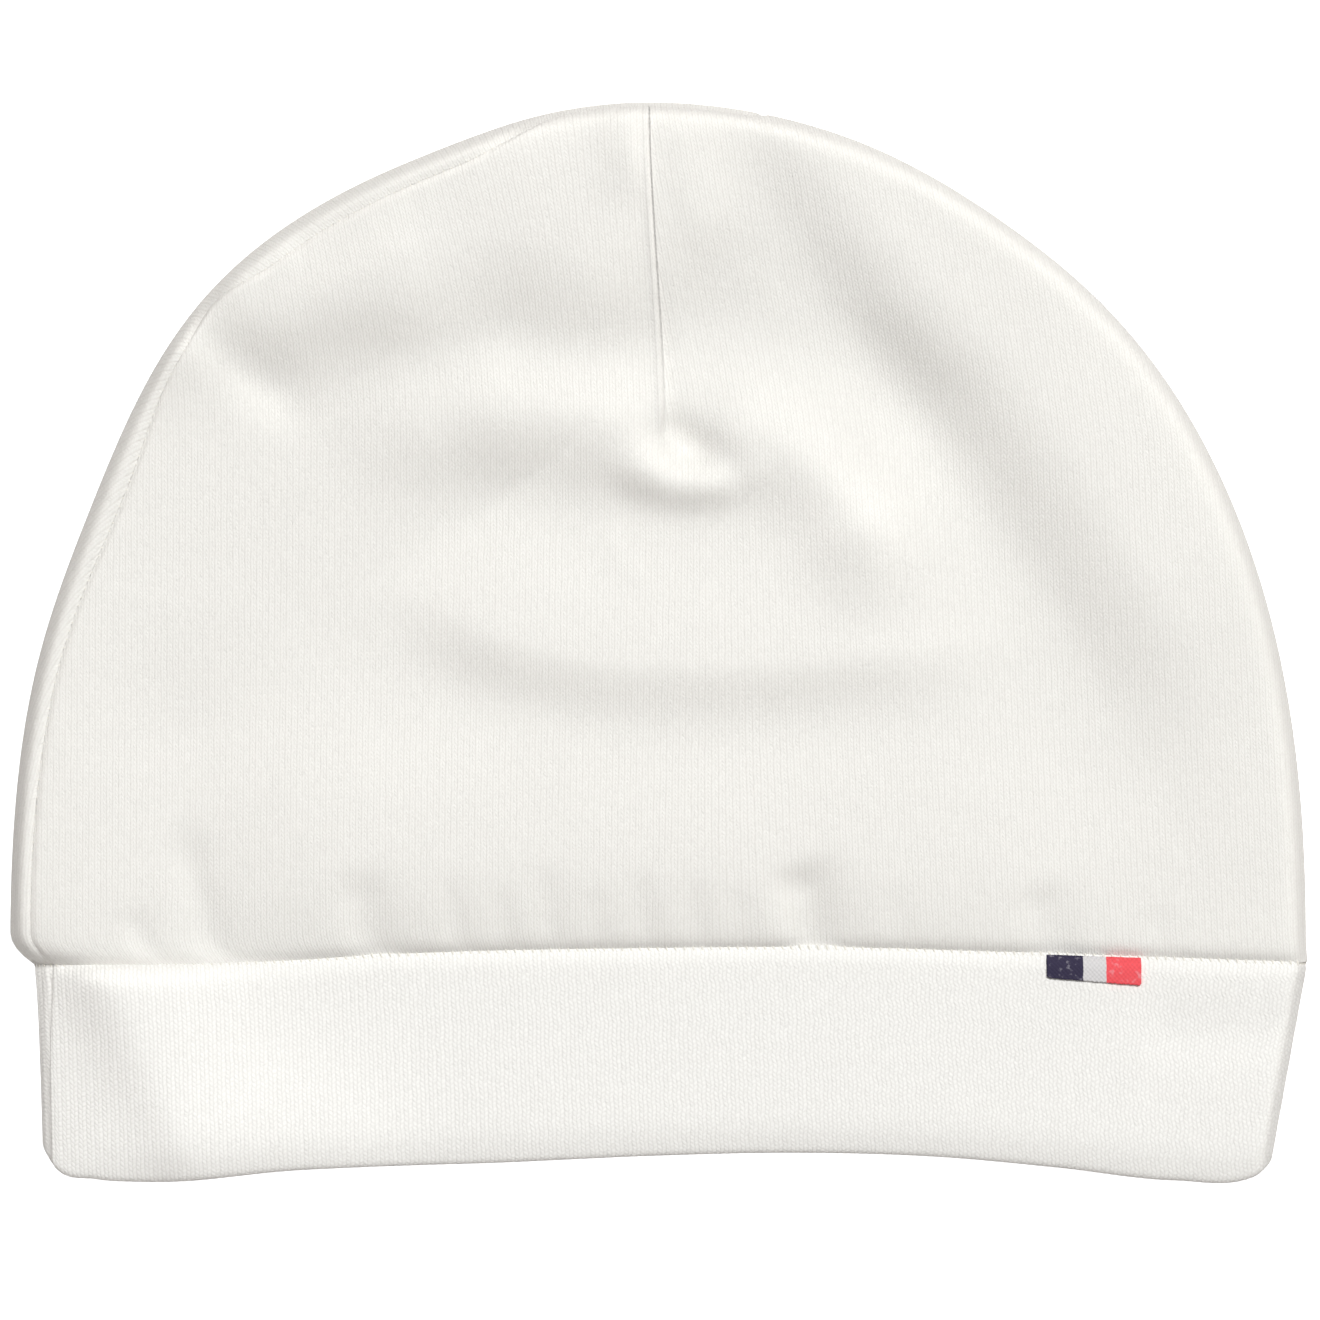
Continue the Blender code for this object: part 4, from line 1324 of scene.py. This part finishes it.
def woven_finish():
    """Three stripes of plain weave, with painted shade between the yarns and a few painted
    highlights.
    """
    material, tree, shader = new_material("woven_stripes", RIBBON_ROUGHNESS, FIBRE_SHEEN)
    across, up = plan_place(tree, "ribbon")
    warp = across * (TAB_WIDTH / YARN)
    weft = up * (TAB_LENGTH / YARN)
    over = ((warp * math.pi).sine() * (weft * math.pi).sine()) * 0.5 + 0.5
    fleck = noise_at(tree, FLECK_SCALE, detail=2.0) - 0.5
    wobble = across + fleck * STRIPE_WOBBLE
    colour = NAVY
    for end, following in zip(STRIPE_ENDS, (GREY_WHITE, RED)):
        past = wobble.step(end - STRIPE_SOFTNESS, end + STRIPE_SOFTNESS)
        colour = mix_colours(tree, past, colour, following)
    # Painted shade: the weave's checker darkens the colour towards a near black, as shade between
    # the yarns.
    colour = mix_colours(tree, over * YARN_SHADE, colour, YARN_GAP_SHADE)
    # Painted highlights: pale spots from noise, as glints on single yarns.
    pale = fleck.step(HIGHLIGHT_START, HIGHLIGHT_END) * HIGHLIGHT_SHARE
    colour = mix_colours(tree, pale, colour, YARN_HIGHLIGHT)
    tree.links.new(colour.socket, shader.inputs["Base Color"])
    set_bump(tree, shader, over + fleck, WEAVE_RELIEF)
    return material


striped_tab.data.materials.append(woven_finish())
thicken(striped_tab, TAB_WALL)
print("yarns across the tab", round(TAB_WIDTH / YARN))

# %% [markdown]
# ## The seam stitches
#
# Down in the grooves, a thread crosses from one cloth to the other every millimetre or so. Each
# stitch could be placed by hand. A stitch is the same short bent thread every time, though, so
# Geometry Nodes set copies of it along a line on the hat, turned to stand out of the cloth.

# %% The thread
THREAD_ROUGHNESS = 0.8
THREAD_COLOUR = (0.88, 0.86, 0.80, 1.0)
THREAD_SHADE = (0.60, 0.56, 0.50, 1.0)
FIBRE_SCALE = 5000.0
FIBRE_SHARE = 0.5


def thread_finish():
    """A pale cotton thread with fine darker fibres."""
    material, tree, shader = new_material("cotton_thread", THREAD_ROUGHNESS, FIBRE_SHEEN)
    fibre = noise_at(tree, FIBRE_SCALE, detail=1.0) * FIBRE_SHARE
    colour = mix_colours(tree, fibre, THREAD_COLOUR, THREAD_SHADE)
    tree.links.new(colour.socket, shader.inputs["Base Color"])
    return material


thread = thread_finish()
print("nodes in the thread's finish", len(thread.node_tree.nodes))

# %% Stitches by Geometry Nodes
STITCH_SIZES = {
    "Stitch Length": 0.00085, "Stitch Pitch": 0.00120,
    "Thread Radius": 0.00013, "Slant": math.radians(20),
}
BOW = 0.7
BOW_STEPS = 5
THREAD_SIDES = 6


def stitch_tree():
    """Sets bent threads along a line, across it and a little slanted."""
    tree, given = new_geometry_tree("seam_stitches", STITCH_SIZES)
    half = given["Stitch Length"] * 0.5
    start = add_node(tree, "ShaderNodeCombineXYZ", None, {"X": half * -1})
    middle = add_node(tree, "ShaderNodeCombineXYZ", None, {"Z": half * BOW})
    end = add_node(tree, "ShaderNodeCombineXYZ", None, {"X": half})
    inputs = {"Resolution": BOW_STEPS, "Start": start, "Middle": middle, "End": end}
    bow = add_node(tree, "GeometryNodeCurveQuadraticBezier", None, inputs)
    inputs = {"Resolution": THREAD_SIDES, "Radius": given["Thread Radius"]}
    thick = add_node(tree, "GeometryNodeCurvePrimitiveCircle", None, inputs)
    inputs = {"Curve": bow, "Profile Curve": thick, "Fill Caps": True}
    bent = add_node(tree, "GeometryNodeCurveToMesh", None, inputs)

    line = add_node(tree, "GeometryNodeMeshToCurve", None, {0: given["Geometry"]})
    inputs = {"Curve": line, "Length": given["Stitch Pitch"]}
    places = add_node(tree, "GeometryNodeResampleCurve", {"mode": "LENGTH"}, inputs)
    settings = {"data_type": "FLOAT_VECTOR"}
    out = add_node(tree, "GeometryNodeInputNamedAttribute", settings, {"Name": "out"})
    tangent = add_node(tree, "GeometryNodeInputTangent")
    stand = add_node(tree, "FunctionNodeAlignRotationToVector", {"axis": "Z"}, {"Vector": out})
    settings = {"axis": "Y", "pivot_axis": "Z"}
    inputs = {"Rotation": stand, "Vector": tangent}
    turned = add_node(tree, "FunctionNodeAlignRotationToVector", settings, inputs)
    slant = add_node(tree, "ShaderNodeCombineXYZ", None, {"Z": given["Slant"]})
    inputs = {"Rotation": turned, "Rotate By": slant}
    leaning = add_node(tree, "FunctionNodeRotateRotation", {"rotation_space": "LOCAL"}, inputs)
    inputs = {"Points": places, "Instance": bent, "Rotation": leaning}
    copies = add_node(tree, "GeometryNodeInstanceOnPoints", None, inputs)
    return end_tree(tree, copies, given["Material"])


def sew(name, points, outs):
    """Stitches along a line of vertices that know which way is out of the cloth."""
    mesh = bpy.data.meshes.new("stitch_line")
    mesh.from_pydata(points.tolist(), [[i, i + 1] for i in range(len(points) - 1)], [])
    attribute = mesh.attributes.new("out", "FLOAT_VECTOR", "POINT")
    attribute.data.foreach_set("vector", outs.astype(np.float32).ravel())
    line = bpy.data.objects.new("stitch_line", mesh)
    bpy.context.collection.objects.link(line)
    return grow(name, line, stitches, STITCH_SIZES, thread)


stitches = stitch_tree()
print("nodes that set the stitches", len(stitches.nodes))

# %% Stitches in both seams
FIRST_STITCH = 0.01
SEAM_POINTS = 700
STITCH_DEPTH = 0.0002
BAND_STITCH_DEPTH = 0.0004


def panel_seam_stitches():
    """Stitches down in the groove between the panels."""
    turn = np.linspace(FIRST_STITCH, math.pi - FIRST_STITCH, SEAM_POINTS)
    path = panel_seam_path(turn)
    outs = crown_normal(turn, path)
    points = crown_surface(turn, path) - outs * (SEAM_DEPTH + STITCH_DEPTH)
    return sew("panel_seam_stitches", points, outs)


def band_seam_stitches():
    """Stitches once round the seam between crown and band."""
    x, z, out_x, out_z, _ = band_section(0.0)
    outs = np.stack([out_x, np.zeros_like(x), out_z], axis=-1)
    points = np.stack([x, band_seam_line(x), z], axis=-1) - outs * BAND_STITCH_DEPTH
    points = np.concatenate([points, points[:1]])
    outs = np.concatenate([outs, outs[:1]])
    return sew("band_seam_stitches", points, outs)


panel_stitches = panel_seam_stitches()
band_stitches = band_seam_stitches()
print("stitch faces", len(panel_stitches.data.polygons) + len(band_stitches.data.polygons))

# %% [markdown]
# ## Into the frame's place
#
# The surfaces were worked out from the middle of the band seam. The frame's origin is under the
# middle of the whole hat. Moving the objects would do for a picture, but the export and the
# Object coordinates want every object at the origin, so the meshes are moved instead.

# %% Move the meshes
pieces = (front_panel, back_panel, folded_band, striped_tab, panel_stitches, band_stitches)


def move_to_middle():
    """Move every mesh so that the hat's middle is the middle of the CAD box."""
    corners = np.array([corner[:] for piece in pieces for corner in piece.bound_box])
    middle = (corners.min(axis=0) + corners.max(axis=0)) / 2
    cad_middle = (np.array(cad_box[0]) + np.array(cad_box[1])) / 2
    shift = Vector((cad_middle[0] - middle[0], cad_middle[1] - middle[1], 0.0))
    for piece in pieces:
        piece.data.transform(Matrix.Translation(shift))
    return shift


print("moved by mm", [round(x * 1000, 3) for x in move_to_middle()])

# %% [markdown]
# ## What stands for what
#
# Each cloth stands for its solid in the imported frame, which is hidden. The hat has no rigid part
# that moves, so everything rides with the root. The stitches stand for no solid.

# %% Hidden solids and rides
for piece, node, slot in (
    (front_panel, "crown_front", "jersey"),
    (back_panel, "crown_back", "jersey"),
    (folded_band, "band", "rib_knit"),
    (striped_tab, "tab", "tab_stripes"),
):
    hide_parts(node)
    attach(piece, "root")
for piece in (panel_stitches, band_stitches):
    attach(piece, "root")

# %% [markdown]
# ## The floor
#
# The hat lies on plain white that shows no shadow, as on a light table. A white floor under a
# strong lamp would do that, but it would also throw light up at the hat's edge and burn it out.
# So the floor glows by itself, and its Diffuse visibility is off, which keeps its glow away from
# the hat.

# %% The white floor
FLOOR_SIZE = 3.0
FLOOR_DROP = 0.0002
FLOOR_ROUGHNESS = 0.9
FLOOR_COLOUR = (0.9, 0.9, 0.9, 1.0)
GLOW_COLOUR = (1.0, 1.0, 1.0, 1.0)
GLOW = 1.0


def make_floor():
    """A square that glows pure white."""
    mesh = bpy.data.meshes.new("floor")
    signs = ((-1, -1), (1, -1), (1, 1), (-1, 1))
    mesh.from_pydata([(x * FLOOR_SIZE, y * FLOOR_SIZE, 0) for x, y in signs], [], [(0, 1, 2, 3)])
    floor = bpy.data.objects.new("floor", mesh)
    floor.location = (0, 0, -FLOOR_DROP)
    bpy.context.collection.objects.link(floor)
    material, _, shader = new_material("white_floor", FLOOR_ROUGHNESS, 0.0)
    shader.inputs["Base Color"].default_value = FLOOR_COLOUR
    shader.inputs["Emission Color"].default_value = GLOW_COLOUR
    shader.inputs["Emission Strength"].default_value = GLOW
    mesh.materials.append(material)
    floor.visible_diffuse = False
    return floor


print("floor is below the hat by mm", round(-make_floor().location.z * 1000, 2))

# %% [markdown]
# ## The light
#
# Folds in white cloth show only as faint shade, so the light is soft and comes mostly from one
# side. One big lamp stands beyond the top of the crown, a little to the right, and a weak one
# fills from the lower left. Two lamps alone would leave the rolled edge grey all round, so the
# sky has a low bright ring that lights it from the side.

# %% The lamps
Lamp = namedtuple("Lamp", "name place size watts colour")
LAMPS = (
    Lamp("top_right", (0.74, 1.55, 3.40), 1.3, 142.0, (0.99, 1.0, 0.99)),
    Lamp("low_fill", (-0.22, -0.34, 0.42), 0.40, 0.36, (1.0, 1.0, 1.0)),
)


def make_lamp(lamp):
    """A round lamp that points at the middle of the hat."""
    data = bpy.data.lights.new(lamp.name, "AREA")
    data.shape = "DISK"
    data.size = lamp.size
    data.energy = lamp.watts
    data.color = lamp.colour
    thing = bpy.data.objects.new(lamp.name, data)
    thing.location = lamp.place
    thing.rotation_euler = (-Vector(lamp.place)).to_track_quat("-Z", "Y").to_euler()
    bpy.context.collection.objects.link(thing)
    return round(Vector(lamp.place).length, 2)


print("lamp distances in m", [make_lamp(lamp) for lamp in LAMPS])

# %% The sky
SKY_LIGHT = 0.10
SKY_COLOUR = (1.0, 0.92, 0.89, 1.0)
RING_LIGHT = 2.6
RING_HEIGHT = 0.22
RING_COLOUR = (1.0, 0.985, 0.95, 1.0)


def make_world():
    """A dim sky with a brighter ring low down all round."""
    world = bpy.data.worlds.new("studio")
    bpy.context.scene.world = world
    world.use_nodes = True
    tree = world.node_tree
    background = tree.nodes["Background"]
    way = add_node(tree, "ShaderNodeTexCoord", None, None, "Generated")
    height = abs(add_node(tree, "ShaderNodeSeparateXYZ", None, {0: way}, "Z"))
    ring = 1 - height.step(0.0, RING_HEIGHT)
    colour = mix_colours(tree, ring, SKY_COLOUR, RING_COLOUR)
    tree.links.new(colour.socket, background.inputs["Color"])
    strength = ring * RING_LIGHT + SKY_LIGHT
    tree.links.new(strength.socket, background.inputs["Strength"])
    return len(tree.nodes)


print("nodes in the sky", make_world())
bpy.context.scene.view_settings.view_transform = "Standard"
bpy.context.scene.view_settings.look = "None"
